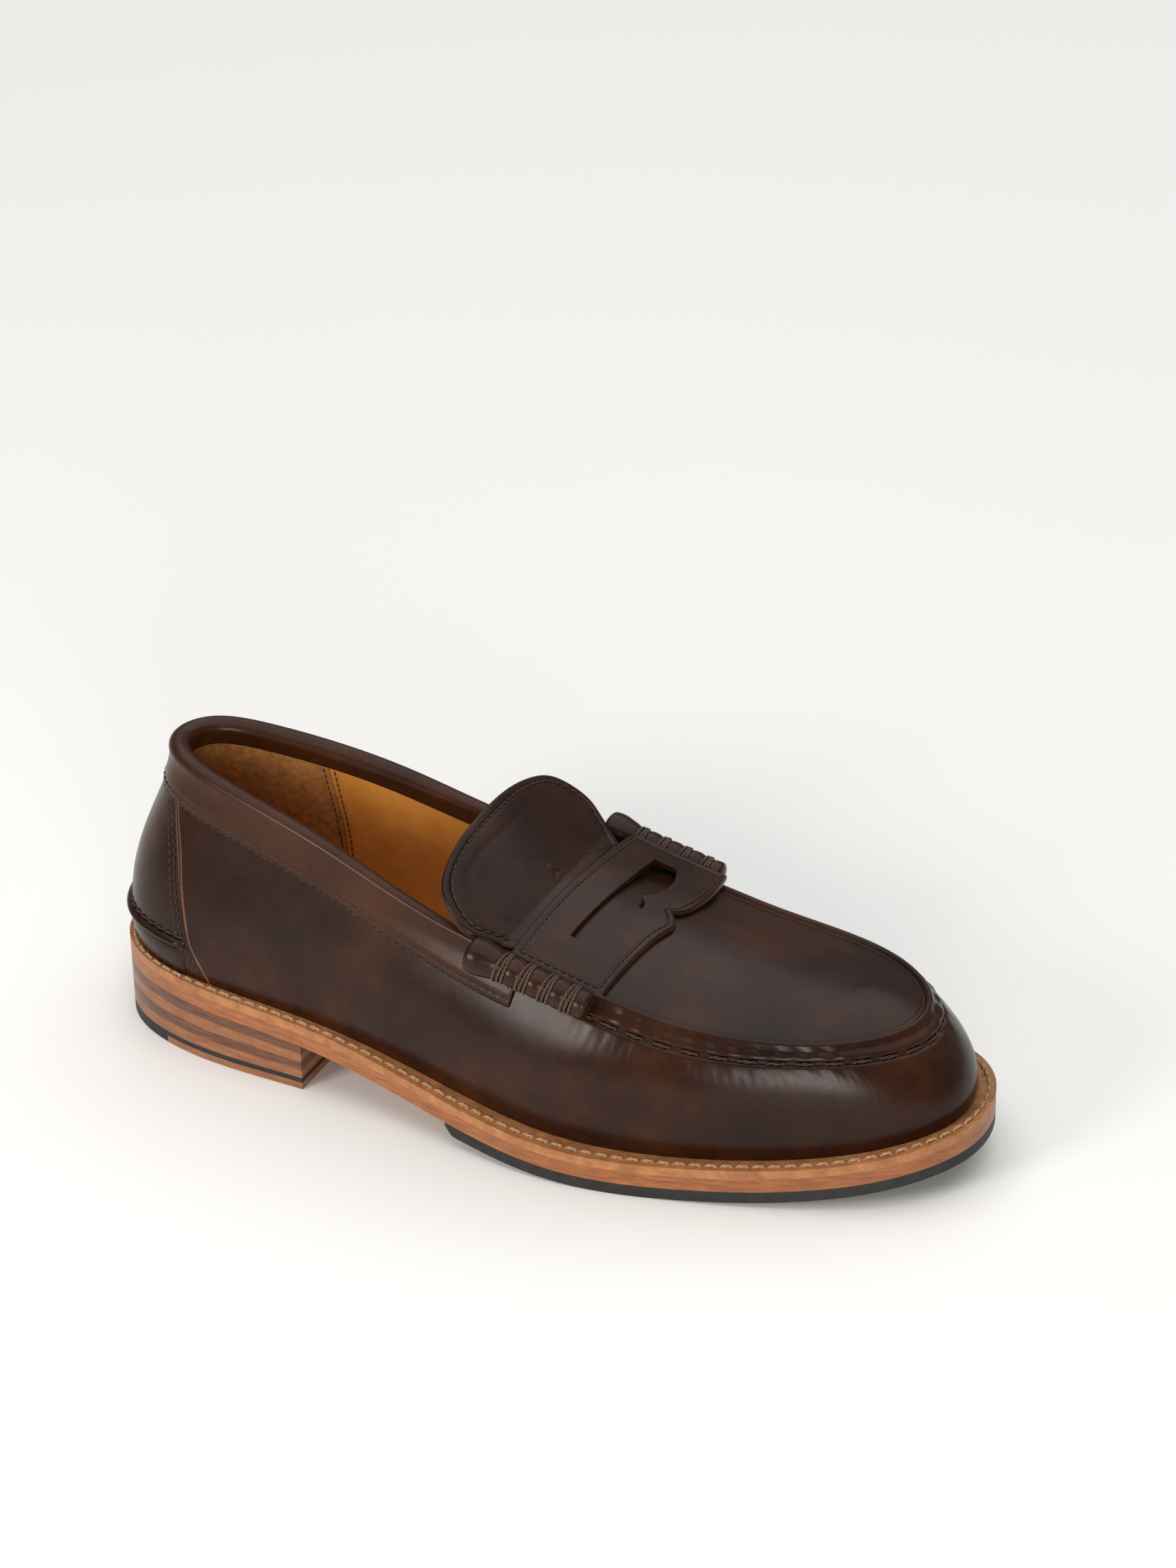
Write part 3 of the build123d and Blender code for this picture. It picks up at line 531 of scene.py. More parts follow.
def thread_material(name, dark, light, rough=0.55):
    """Waxed thread with a fine fibre."""
    material, tree, shader, place = new_material(name)
    fibre = texture(tree, "ShaderNodeTexNoise", 1800, place, Detail=4, Roughness=0.7)
    base = ramp(tree, fibre.outputs["Fac"], [(0.35, dark), (0.66, light)])
    link(tree, base.outputs["Color"], shader.inputs["Base Color"])
    shader.inputs["Roughness"].default_value = rough
    bump(tree, shader, [(fibre.outputs["Fac"], 0.6, 0.0002)])
    return material


def plain_material(name, colour, rough, metal=0.0):
    """Faintly grained board, cork or metal for the pieces hidden inside."""
    material, tree, shader, place = new_material(name)
    grain = texture(tree, "ShaderNodeTexNoise", 300, place, Detail=5, Roughness=0.6)
    darker = tuple(c * 0.75 for c in colour)
    lighter = tuple(min(1, c * 1.15) for c in colour)
    base = ramp(tree, grain.outputs["Fac"], [(0.3, darker), (0.7, lighter)])
    link(tree, base.outputs["Color"], shader.inputs["Base Color"])
    shader.inputs["Roughness"].default_value = rough
    shader.inputs["Metallic"].default_value = metal
    bump(tree, shader, [(grain.outputs["Fac"], 0.3, 0.0002)])
    return material


# Leathers are given by their dark, middle and light colours.
UPPER = dark_leather("upper_leather", (0.0115, 0.0032, 0.0012), (0.0235, 0.0068, 0.0025),
                     (0.052, 0.0165, 0.0055), rough=(0.23, 0.33), coat=0.04)
COLLAR = dark_leather("collar_leather", (0.026, 0.0072, 0.0022), (0.043, 0.0122, 0.0034),
                      (0.066, 0.0200, 0.0055), rough=(0.27, 0.38), coat=0.04)
RAW_EDGE = tan_leather("raw_edge", (0.07, 0.022, 0.008), (0.13, 0.042, 0.013), (0.22, 0.075, 0.022), rough=0.7)
LINING = tan_leather("lining", (0.62, 0.235, 0.036), (0.73, 0.30, 0.050), (0.82, 0.38, 0.078), rough=0.42,
                     grain=50, strength=0.16)
SOCK = tan_leather("sock", (0.50, 0.26, 0.11), (0.60, 0.33, 0.15), (0.68, 0.40, 0.19), rough=0.5, grain=60,
                   strength=0.15)
SUEDE = suede_material()
WELT_LEATHER = tan_leather("welt_leather", (0.26, 0.095, 0.030), (0.37, 0.150, 0.050), (0.48, 0.215, 0.080),
                           rough=0.5, grain=200)
SOLE_EDGE = stacked_leather("sole_edge", (0.20, 0.064, 0.018), (0.29, 0.098, 0.029), (0.39, 0.145, 0.048))
LIFT_LIGHT = stacked_leather("lift_light", (0.17, 0.060, 0.022), (0.26, 0.098, 0.036), (0.35, 0.145, 0.058))
LIFT_DARK = stacked_leather("lift_dark", (0.060, 0.021, 0.010), (0.115, 0.041, 0.018), (0.19, 0.073, 0.031))
RUBBER = rubber_material()
STITCH_DARK = thread_material("dark_thread", (0.012, 0.006, 0.004), (0.045, 0.02, 0.012))
STITCH_CORD = thread_material("waxed_cord", (0.030, 0.014, 0.008), (0.095, 0.048, 0.028))
STITCH_NATURAL = thread_material("natural_thread", (0.26, 0.155, 0.075), (0.52, 0.36, 0.20), 0.7)
BOARD = plain_material("board", (0.42, 0.30, 0.18), 0.8)
CORK = plain_material("cork", (0.42, 0.27, 0.14), 0.9)
STEEL = plain_material("steel", (0.6, 0.6, 0.6), 0.35, 1.0)
BRASS = plain_material("brass", (0.75, 0.55, 0.22), 0.35, 1.0)


NODE_MATERIALS = (
    (SOLE_EDGE, ("leather_outsole",)),
    (WELT_LEATHER, ("welt",)),
    (BOARD, ("insole", "insole_rib", "heel_counter", "toe_puff")),
    (CORK, ("cork_filler",)),
    (STEEL, ("shank",)),
    (BRASS, ("heel_nails",)),
    (SOCK, ("sock_liner",)),
    (RUBBER, ("rubber_half_sole", "rubber_top_piece")),
    (LIFT_LIGHT, ("heel_leather_corner", "heel_lift_1", "heel_lift_3")),
    (LIFT_DARK, ("heel_lift_2", "heel_lift_4")),
    (LINING, ("quarter_lining_outer", "quarter_lining_inner", "vamp_lining")),
    (SUEDE, ("heel_lining",)),
)


def dress_cad_nodes():
    """Gives the frame's own pieces their materials."""
    for material, names in NODE_MATERIALS:
        for name in names:
            slots = NODES[name].data.materials
            slots.clear()
            slots.append(material)


def ride(piece, *replaced, slot="upper_leather"):
    """Puts a piece on the shoe's body, in place of the frame's nodes that are named."""
    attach(piece, "shoe")
    if replaced:
        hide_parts(*replaced)


dress_cad_nodes()

# ---------------------------------------------------------------- vamp and heel panel
# x, z of the upright seam between vamp and heel panel, in side view.
HEEL_SEAM = np.array([(6, 20), (5, 28), (-1.5, 39), (-5, 52), (-8, 66), (-13, 82), (-17, 92), (-19, 110)],
                     float)


def seam_x(z):
    return np.interp(z, HEEL_SEAM[:, 1], HEEL_SEAM[:, 0])


def side_window(side, reach, count):
    """s values over the rear part of the outer (-1) or inner (+1) side."""
    if side < 0:
        return np.linspace(5, reach, count)
    return np.linspace(TOTAL - reach, TOTAL - 5, count)


def seam_s(side, t_values, shift=0.0):
    """s of the heel seam at each share, on the outer (-1) or inner (+1) side, smoothed."""
    window = side_window(side, 110, 400)
    out = []
    for t in t_values:
        line, _ = WALL_FACE.at(window, np.full(len(window), t))
        past = -side * (line[:, 0] - seam_x(line[:, 2]) - shift)
        out.append(np.interp(0, past, window))
    width = 5
    padded = np.concatenate([[out[0]] * (width // 2), out, [out[-1]] * (width // 2)])
    return np.convolve(padded, np.ones(width) / width, mode="valid")


SEAM_PITCH_S = 8.6  # pitch of the hand stitches and gathers along the apron seam
SEAM_DROP = 5.9  # the apron seam's distance below the top edge


def vamp_relief(s, t, points):
    """Small gathers below the apron seam and soft creases over the toe's sides."""
    drop = drop_at(s, t)
    front = np.clip((points[..., 0] - 128) / 16, 0, 1)
    pucker = np.sin(2 * math.pi * s / SEAM_PITCH_S)
    near = np.exp(-((drop - 8.2) / 2.6) ** 2)
    fine = np.sin(2 * math.pi * s / 3.1 + 3 * np.sin(s * 0.11)) * np.exp(-((drop - 11) / 4.0) ** 2)
    groove = np.exp(-((drop - SEAM_DROP) / 0.9) ** 2)
    return front * (0.06 * pucker * near + 0.02 * fine - 0.65 * groove)


def drop_at(s, t):
    """Distance in mm from the top edge down to share t."""
    u = np.mod(s, TOTAL) / TOTAL * (WALL_FACE.S_COUNT - 1)
    i = np.clip(u.astype(int), 0, WALL_FACE.S_COUNT - 1)
    v = np.clip(t / WALL_FACE.t[-1], 0, 1) * (WALL_FACE.T_COUNT - 1)
    j = np.clip(v.astype(int), 0, WALL_FACE.T_COUNT - 2)
    here = WALL_FACE.length[i, j] + (WALL_FACE.length[i, j + 1] - WALL_FACE.length[i, j]) * (v - j)
    top = 1 / WALL_FACE.t[-1] * (WALL_FACE.T_COUNT - 1)
    k = int(top)
    whole = WALL_FACE.length[i, k] + (WALL_FACE.length[i, k + 1] - WALL_FACE.length[i, k]) * (top - k)
    return whole - here


def build_vamp():
    t = np.concatenate([np.linspace(0, 0.62, 34), np.linspace(0.62, 1.0, 62)[1:]])
    start = seam_s(-1, t)
    end = seam_s(1, t)
    share = np.linspace(0, 1, 620)
    s = start[None, :] + (end - start)[None, :] * share[:, None]
    tt = np.broadcast_to(t, s.shape)
    point, normal = WALL_FACE.at(s, tt)
    outer = point + normal * vamp_relief(s, tt, point)[..., None]
    inner = point - normal * WALL
    return make_object("vamp_leather", *shell(outer, inner), UPPER)


PANEL_LAP = -0.25  # the heel panel ends this far from the seam line
PANEL_PROUD = 0.35  # the heel panel stands over the vamp by this much


def build_heel_panel():
    t = np.linspace(0, 1.0, 70)
    start = seam_s(1, t, PANEL_LAP) - TOTAL
    end = seam_s(-1, t, PANEL_LAP)
    share = np.linspace(0, 1, 150)
    s = start[None, :] + (end - start)[None, :] * share[:, None]
    tt = np.broadcast_to(t, s.shape)
    point, normal = WALL_FACE.at(s, tt)
    edge = np.minimum(share, 1 - share)[:, None] * (end - start)[None, :]
    rounding = 0.45 * (1 - np.clip(edge / 1.2, 0, 1)) ** 2
    seam_groove = 0.22 * np.exp(-((edge - 2.6) / 0.5) ** 2)
    outer = point + normal * (PANEL_PROUD - rounding - seam_groove)[..., None]
    inner = point - normal * WALL
    return make_object("heel_panel_leather", *shell(outer, inner), UPPER)


ride(build_vamp(), "vamp")
ride(build_heel_panel(), "heel_panel")


# ---------------------------------------------------------------- collar band
COLLAR_DROP = 13.0
COLLAR_INSIDE = 5.0
COLLAR_DEPTH = 5.0  # depth of the band's inner side under the outside of the wall
COLLAR_LEATHER = 0.9
CAP_RISE = 3.0
OUT_ROWS = 15
CAP_ROWS = 11
IN_ROWS = 9


def collar_ends():
    return nearest_s(112.5, 1, 0.9) - TOTAL, nearest_s(116.0, -1, 0.9)


def collar_row(s):
    """Section of the band: up the outside, over the topline and down the inside."""
    low = float(WALL_FACE.share(np.array([s]), COLLAR_DROP)[0])
    inner_low = float(WALL_FACE.share(np.array([s]), COLLAR_INSIDE)[0])
    p, n = WALL_FACE.at(np.full(OUT_ROWS, s), np.linspace(low, 1.0, OUT_ROWS))
    q, m = WALL_FACE.at(np.full(IN_ROWS, s), np.linspace(1.0, inner_low, IN_ROWS))
    up = np.linspace(0, 1, OUT_ROWS)
    swell = 0.5 * np.clip((up - 0.6) / 0.4, 0, 1) ** 2
    stitch_groove = 0.42 * np.exp(-((up - 0.17) / 0.05) ** 2)
    lift = 0.15 + 0.95 * np.clip(up * OUT_ROWS / 1.5, 0, 1) ** 0.6 + swell - stitch_groove
    lift[0] = -0.05
    outside = p + n * lift[:, None]
    inside = q - m * (COLLAR_DEPTH + 0.35 * np.linspace(1, 0, IN_ROWS))[:, None]
    inside[-1] = q[-1] - m[-1] * (COLLAR_DEPTH - 1.0)
    middle = (outside[-1] + inside[0]) / 2
    half = (outside[-1] - inside[0]) / 2
    turn = np.linspace(0, math.pi, CAP_ROWS + 2)[1:-1]
    over = middle + np.cos(turn)[:, None] * half + np.sin(turn)[:, None] * np.array([0, 0, CAP_RISE])
    return np.vstack([outside, over, inside])


def build_collar():
    outer = np.array([collar_row(s) for s in np.linspace(*collar_ends(), 430)])
    centre = (outer[:, OUT_ROWS - 1] + outer[:, OUT_ROWS + CAP_ROWS]) / 2
    normal = grid_normals(outer)
    on_cap = OUT_ROWS + 3
    inward = np.sign(np.sum(normal[:, on_cap] * (centre - outer[:, on_cap]), axis=1)).mean()
    inner = outer + normal * COLLAR_LEATHER * inward
    return make_object("collar_leather", *shell(outer, inner), COLLAR)


ride(build_collar(), "collar_band", slot="collar_leather")


def rope_row(bundle, s, drop, lift, radius, pitch=3.0):
    """Two-strand rope stitching a fixed distance below the topline."""
    t = WALL_FACE.share(s, drop)
    point, normal = WALL_FACE.at(s, t)
    stitches(bundle, point + normal * lift, normal, pitch, pitch * 0.95, radius, strands=2)


def build_collar_stitching():
    start, end = collar_ends()
    s = np.linspace(start + 1, end - 1, 500)
    bundle = Bundle()
    rope_row(bundle, s, COLLAR_DROP - 2.2, 0.62, 0.42)
    rope_row(bundle, s, COLLAR_DROP - 0.2, 0.18, 0.36)
    corner = np.linspace(COLLAR_DROP - 1.0, 1.5, 20)
    front = np.full(len(corner), end - 1.6)
    point, normal = WALL_FACE.at(front, WALL_FACE.share(front, corner))
    stitches(bundle, point + normal * 0.8, normal, 2.8, 2.2, 0.34)
    return bundle.build("collar_stitching", STITCH_DARK)


ride(build_collar_stitching(), slot="waxed_thread")


# ---------------------------------------------------------------- heel ridge, patch and seam stitching
HEEL_BAND_T = np.array([0.25])  # share of the wall at which the bands' ends are found


def heel_band_ends(shift):
    """s of the bands' two ends, a distance short of the heel seam."""
    return float(seam_s(1, HEEL_BAND_T, shift)[0]) - TOTAL, float(seam_s(-1, HEEL_BAND_T, shift)[0])


def heel_band(low, high, lift, rows, bulge):
    """Band round the heel between two heights above the welt, ending at the heel seam."""
    s = np.linspace(*heel_band_ends(-0.5), 170)
    share = np.linspace(0, 1, rows)
    low_t = WALL_FACE.share(s, low, False)
    high_t = WALL_FACE.share(s, high, False)
    t = low_t[:, None] + (high_t - low_t)[:, None] * share[None, :]
    point, normal = WALL_FACE.at(np.broadcast_to(s[:, None], t.shape), t)
    ends = np.clip(np.minimum(s - s[0], s[-1] - s) / 3.0, 0, 1)[:, None] ** 0.5
    outer = point + normal * (0.36 + lift * bulge(share)[None, :] * ends)[..., None]
    inner = point + normal * 0.02
    return shell(outer, inner)


def patch_bulge(share):
    return np.sqrt(np.clip(1 - share**6, 0, 1)) * (0.6 + 0.4 * share)


def ridge_bulge(share):
    return np.sin(math.pi * share) ** 0.7


ride(make_object("heel_patch_leather", *heel_band(0.0, 10.2, 1.0, 16, patch_bulge), UPPER), "heel_lower_patch")
ride(make_object("heel_ridge_leather", *heel_band(9.6, 12.8, 1.9, 14, ridge_bulge), UPPER), "heel_ridge")


def build_heel_seam_stitching():
    """Two rows beside each heel seam, and a rope row over the heel ridge."""
    bundle = Bundle()
    t = np.linspace(0.03, 0.985, 120)
    for side in (-1, 1):
        for shift in (-2.6, -4.6):
            s = seam_s(side, t, shift)
            point, normal = WALL_FACE.at(s, t)
            keep = drop_at(s, t) > COLLAR_DROP + 1
            stitches(bundle, (point + normal * 0.24)[keep], normal[keep], 2.6, 2.0, 0.26)
    s = np.linspace(*heel_band_ends(-1.0), 160)
    point, normal = WALL_FACE.at(s, WALL_FACE.share(s, 13.6, False))
    stitches(bundle, point + normal * 0.45, normal, 4.2, 3.6, 0.42, strands=2)
    return bundle.build("heel_seam_stitching", STITCH_DARK)


ride(build_heel_seam_stitching(), slot="waxed_thread")


def build_heel_seam_edges():
    """Raw edge of the heel panel where it lies over the vamp."""
    bundle = Bundle()
    t = np.linspace(0.0, 0.985, 120)
    for side in (-1, 1):
        s = seam_s(side, t, 0.1)
        point, normal = WALL_FACE.at(s, t)
        bundle.add(*tube(point - normal * 0.1, 0.34, normal, 8))
    return bundle.build("heel_seam_edge", RAW_EDGE)


ride(build_heel_seam_edges(), slot="sole_leather")

LINING_FACE = 3.75  # depth of the lining's inner face under the outside of the wall
LINING_SEAMS = (18.2, 21.8)  # x of the two rows


def build_lining_stitching():
    """Upright seams inside, where the suede heel lining meets the smooth linings."""
    bundle = Bundle()
    t = np.linspace(0.16, 0.93, 120)
    for side in (-1, 1):
        window = side_window(side, 150, 500)
        for seam in LINING_SEAMS:
            s = []
            for share in t:
                line, _ = WALL_FACE.at(window, np.full(len(window), share))
                s.append(np.interp(0, -side * (line[:, 0] - seam), window))
            point, normal = WALL_FACE.at(np.array(s), t)
            stitches(bundle, point - normal * LINING_FACE, -normal, 2.6, 1.9, 0.24)
    return bundle.build("lining_stitching", STITCH_CORD)


ride(build_lining_stitching(), slot="waxed_thread")


SOCK_TOP = 11.45  # height of the sock's upper face over the underside of the outsole


def inside_edge(s, inset):
    """Plan points at an inset from the edge of the sole."""
    ahead = outline(s + 0.05) - outline(s - 0.05)
    ahead /= np.linalg.norm(ahead, axis=1)[:, None]
    return outline(s) + np.column_stack([-ahead[:, 1], ahead[:, 0]]) * inset[:, None]


def welt_width(s):
    return np.interp(s, KNOTS, LOOP[:, 2])


def build_sock_stitching():
    """Stitched line along the edge of the sock."""
    bundle = Bundle()
    s = np.linspace(0, TOTAL, 1000)
    spot = inside_edge(s, welt_width(s) + 9.0)
    path = np.column_stack([spot, sole_height(spot[:, 0]) + SOCK_TOP])
    stitches(bundle, path, np.tile(np.array([0, 0, 1.0]), (len(s), 1)), 2.8, 2.0, 0.26)
    return bundle.build("sock_stitching", STITCH_CORD)


ride(build_sock_stitching(), slot="waxed_thread")


# ---------------------------------------------------------------- apron
SEAM_START = nearest_s(112, -1, 1.0)
SEAM_END = nearest_s(112, 1, 1.0)
SPINE_END = 208.0


SPINE_TAPER = 22.0
APRON_LEATHER = 1.2
APRON_FRINGE = 0.9  # leather of the turned edge
INSIDE_ROWS = 26
# Section of the rim: inset from the edge, and rise. Section of the band: drop down the wall, and lift.
RIM = ((1.9, 0.65), (1.5, 0.95), (1.15, 1.5), (0.7, 1.95), (0.15, 2.1), (-0.45, 1.85), (-0.85, 1.35))
BAND = ((1.2, 0.95), (1.9, 0.9), (2.8, 0.9), (3.7, 0.9), (4.4, 0.85), (4.9, 0.6), (5.15, 0.1))


def apron_interior(s, r):
    """Point of the apron: r is 0 at the seam and 1 on the crest line."""
    edge, _ = WALL_FACE.at(s, np.ones_like(s))
    spine_x = np.minimum(edge[..., 0], SPINE_END)
    spine_y = CREST_Y + 4.0 * np.clip((edge[..., 0] - SPINE_END) / SPINE_TAPER, 0, 1)
    x = edge[..., 0] + (spine_x - edge[..., 0]) * r
    y = edge[..., 1] + (spine_y - edge[..., 1]) * r
    top = crest_height(np.clip(spine_x, INSTEP_LINE[0, 0], INSTEP_LINE[-1, 0]))
    z = edge[..., 2] + 0.5 + (top - edge[..., 2] + 0.2) * (1 - (1 - r) ** 2)
    return np.stack([x, y, z], axis=-1)


def build_apron():
    """Flat leather, its raised rolled rim, and the gathered band down to the seam."""
    s = np.linspace(SEAM_START, SEAM_END, 560)
    edge, normal = WALL_FACE.at(s, np.ones_like(s))
    size = np.linalg.norm((apron_interior(s, np.ones_like(s)) - edge)[:, :2], axis=1)
    steps = np.concatenate([1 - 0.84 * np.linspace(0, 1, INSIDE_ROWS) ** 2, np.linspace(0.13, 0.0, 9)])
    nearest = 2.7 / size
    r = nearest[:, None] + (1 - nearest)[:, None] * steps[None]
    inside = apron_interior(s[:, None] * np.ones_like(r), r)
    inward = inside[:, -1] - edge
    inward[:, 2] = 0
    inward /= np.linalg.norm(inward, axis=1)[:, None]
    up = np.array([0, 0, 1.0])
    rim = [edge + inward * inset + up * rise for inset, rise in RIM]
    band = []
    for drop, lift in BAND:
        point, out = WALL_FACE.at(s, WALL_FACE.share(s, drop))
        band.append(point + out * lift)
    outer = np.concatenate([inside, np.stack(rim, axis=1), np.stack(band, axis=1)], axis=1)
    wave = 0.12 * np.sin(2 * math.pi * s / SEAM_PITCH_S)
    outer[:, -len(BAND):-1] += (normal * wave[:, None])[:, None]
    direction = grid_normals(outer)
    if direction[len(s) // 2, INSIDE_ROWS // 2, 2] < 0:
        direction = -direction
    inner = outer - direction * APRON_FRINGE
    inner[:, :INSIDE_ROWS] = outer[:, :INSIDE_ROWS] - up * APRON_LEATHER
    return make_object("apron_leather", *shell(outer, inner), UPPER)


ride(build_apron(), "apron", "apron_rim")


def build_apron_stitching():
    """Hand stitches along the seam, from beside the rolls."""
    s = np.linspace(SEAM_START + 22, SEAM_END - 22, 700)
    t = WALL_FACE.share(s, SEAM_DROP)
    point, normal = WALL_FACE.at(s, t)
    bundle = Bundle()
    stitches(bundle, point - normal * 0.32, normal, SEAM_PITCH_S * 0.98, 6.6, 0.5, strands=2, rings=13)
    return bundle.build("apron_stitching", STITCH_DARK)


ride(build_apron_stitching(), slot="waxed_thread")


# ---------------------------------------------------------------- strap
def instep_surface(x, y, lift):
    """Point over the crowned instep at a height above its crest line."""
    fall = np.where(y > CREST_Y, INNER_FALL, 1.0) * crest_fall(x)
    z = crest_height(x) + lift - fall * ((y - CREST_Y) / CREST_REACH) ** 2
    return np.stack([x, y, z], axis=-1)


# x, y of the edges of the strap and its slot, from the outer side.
STRAP_REAR = np.array([(113.6, -38.5), (118.4, 41.0)])
STRAP_FRONT = np.array([(144.0, -38.5), (144.9, -30), (146.0, -20), (147.3, -10), (148.7, -3), (149.7, 1),
                        (149.5, 4), (147.9, 6.6), (146.2, 8.2), (148.6, 10.8), (150.4, 15), (151.6, 22),
                        (151.8, 30), (150.4, 41.0)])
SLOT_REAR = np.array([(126.0, -22.0), (130.2, 31.0)])
SLOT_FRONT = np.array([(129.0, -22.6), (132.8, -19.0), (135.2, -12), (137.2, -4), (138.3, 2), (137.9, 6.5),
                       (135.4, 9.2), (138.2, 12), (139.8, 17), (139.8, 25), (137.6, 31.0)])
STRAP_LIFT = 1.1
STRAP_THICK = 1.7
STRAP_CUSP = 8  # index of the cusp in the strap's front edge
SLOT_CUSP = 6
STRAP_STITCH_INSET = 2.3
INNER_FALL = 0.55  # the strap drops less towards the inner side


def ogee(points, y, cusp):
    """x along a two-lobed edge with a cusp at index cusp."""
    low = points[:cusp + 1]
    high = points[cusp:]
    left = natural(low[:, 1], low[:, 0], np.clip(y, low[0, 1], low[-1, 1]))
    right = natural(high[:, 1], high[:, 0], np.clip(y, high[0, 1], high[-1, 1]))
    return np.where(y <= points[cusp, 1], left, right)


def strap_edges(v):
    """Rear and front x of the strap for v from 0 (outer side) to 1 (inner side), with y."""
    y_rear = STRAP_REAR[0, 1] + (STRAP_REAR[1, 1] - STRAP_REAR[0, 1]) * v
    x_rear = STRAP_REAR[0, 0] + (STRAP_REAR[1, 0] - STRAP_REAR[0, 0]) * v
    y_front = STRAP_FRONT[0, 1] + (STRAP_FRONT[-1, 1] - STRAP_FRONT[0, 1]) * v
    x_front = ogee(STRAP_FRONT, y_front, STRAP_CUSP)
    return x_rear, y_rear, x_front, y_front


def build_strap():
    v = np.linspace(0, 1, 190)
    u = np.linspace(0, 1, 84)
    x_rear, y_rear, x_front, y_front = strap_edges(v)
    x = x_rear[:, None] + (x_front - x_rear)[:, None] * u[None]
    y = y_rear[:, None] + (y_front - y_rear)[:, None] * u[None]
    width = (x_front - x_rear)[:, None]
    along = np.minimum(u, 1 - u)[None] * width
    side = np.minimum(v, 1 - v)[:, None] * 75 * np.ones_like(u)[None]
    edge = np.minimum(along, side)
    lift = STRAP_LIFT + STRAP_THICK - 0.55 * (1 - np.clip(edge / 0.9, 0, 1)) ** 2
    lift -= 0.30 * np.exp(-((edge - STRAP_STITCH_INSET) / 0.42) ** 2)
    bottom = np.full_like(lift, STRAP_LIFT)
    sheets = shell(instep_surface(x, y, lift), instep_surface(x, y, bottom))
    piece = make_object("strap_leather", *sheets, UPPER)
    rear_y = np.linspace(SLOT_REAR[0, 1], SLOT_REAR[1, 1], 30)
    rear_x = np.interp(rear_y, SLOT_REAR[:, 1], SLOT_REAR[:, 0])
    front_y = np.linspace(SLOT_FRONT[-1, 1], SLOT_FRONT[0, 1], 90)
    front_x = ogee(SLOT_FRONT, front_y, SLOT_CUSP)
    loop = list(zip(rear_x, rear_y)) + list(zip(front_x, front_y))
    cut = [(a, b, 40.0) for a, b in loop] + [(a, b, 90.0) for a, b in loop]
    n = len(loop)
    faces = [(k, (k + 1) % n, n + (k + 1) % n, n + k) for k in range(n)]
    faces += end_caps(2, n)
    cutter = make_object("slot_cutter", cut, faces, RAW_EDGE, smooth=False)
    boolean = piece.modifiers.new("slot", "BOOLEAN")
    boolean.operation = "DIFFERENCE"
    boolean.solver = "EXACT"
    boolean.object = cutter
    apply_modifiers(piece)
    bpy.data.objects.remove(cutter)
    sharpen(piece, 50)
    return piece


def apply_modifiers(piece):
    depsgraph = bpy.context.evaluated_depsgraph_get()
    done = bpy.data.meshes.new_from_object(piece.evaluated_get(depsgraph))
    piece.modifiers.clear()
    piece.data = done


def sharpen(piece, degrees):
    mesh = piece.data
    mesh.polygons.foreach_set("use_smooth", [True] * len(mesh.polygons))
    mesh.set_sharp_from_angle(angle=math.radians(degrees))


ride(build_strap(), "saddle_strap")


def build_strap_stitching():
    bundle = Bundle()
    v = np.linspace(0, 1, 260)
    x_rear, y_rear, x_front, y_front = strap_edges(v)
    for x, y in ((x_rear + STRAP_STITCH_INSET, y_rear), (x_front - STRAP_STITCH_INSET, y_front)):
        line = np.column_stack([x, y])[8:-8]
        point = instep_surface(line[:, 0], line[:, 1], STRAP_LIFT + STRAP_THICK - 0.22)
        normal = np.column_stack([np.full(len(line), 0.25), 0.1 * (line[:, 1] - CREST_Y) / CREST_REACH,
                                  np.ones(len(line))])
        normal /= np.linalg.norm(normal, axis=1)[:, None]
        stitches(bundle, point, normal, 2.5, 2.0, 0.30)
    for end in (0.031, 0.969):
        u = np.linspace(0.07, 0.93, 60)
        a, b, c, d = (float(np.interp(end, v, value)) for value in (x_rear, y_rear, x_front, y_front))
        x = a + (c - a) * u
        y = b + (d - b) * u
        point = instep_surface(x, y, STRAP_LIFT + STRAP_THICK - 0.22)
        normal = np.tile(np.array([0.24, 0, 0.97]), (60, 1))
        stitches(bundle, point, normal, 2.5, 2.0, 0.30)
    return bundle.build("strap_stitching", STITCH_DARK)


ride(build_strap_stitching(), slot="waxed_thread")

# ---------------------------------------------------------------- beef rolls and their cord
ROLL_Y = {-1: -44.0, 1: 45.6}
ROLL_REAR = {-1: (105.0, 66.6), 1: (109.0, 64.2)}
ROLL_FRONT = {-1: (142.0, 57.6), 1: (146.0, 55.2)}
ROLL_NAMES = {-1: "outer", 1: "inner"}
ROLL_LENGTH = 38.0
ROLL_R = 4.9
ROLL_FLAT = 0.93  # height of the roll as a share of its width
WRAP_PLACES = (0.26, 0.46, 0.66, 0.86)
WRAP_SPACING = 1.02  # from strand to strand
PLY_R = 0.36


def roll_axis(side, share):
    x = ROLL_REAR[side][0] + (ROLL_FRONT[side][0] - ROLL_REAR[side][0]) * share
    z = ROLL_REAR[side][1] + (ROLL_FRONT[side][1] - ROLL_REAR[side][1]) * share
    y = ROLL_Y[side] + 0 * share
    return np.stack([x, y, z], axis=-1)


def roll_radius(share):
    """Radius of the rolled leather: waisted under each wrap, a full lobe at the rear."""
    waist = sum(np.exp(-(((share - place) * ROLL_LENGTH) / 1.9) ** 2) for place in WRAP_PLACES)
    lobe = 1.2 * np.exp(-((share - 0.04) * ROLL_LENGTH / 4.5) ** 2)
    ends = np.clip(1 - (np.clip(np.abs(share - 0.48) - 0.50, 0, 1) / 0.055) ** 2, 0.05, 1) ** 0.5
    return (ROLL_R - 0.85 * waist + lobe) * ends


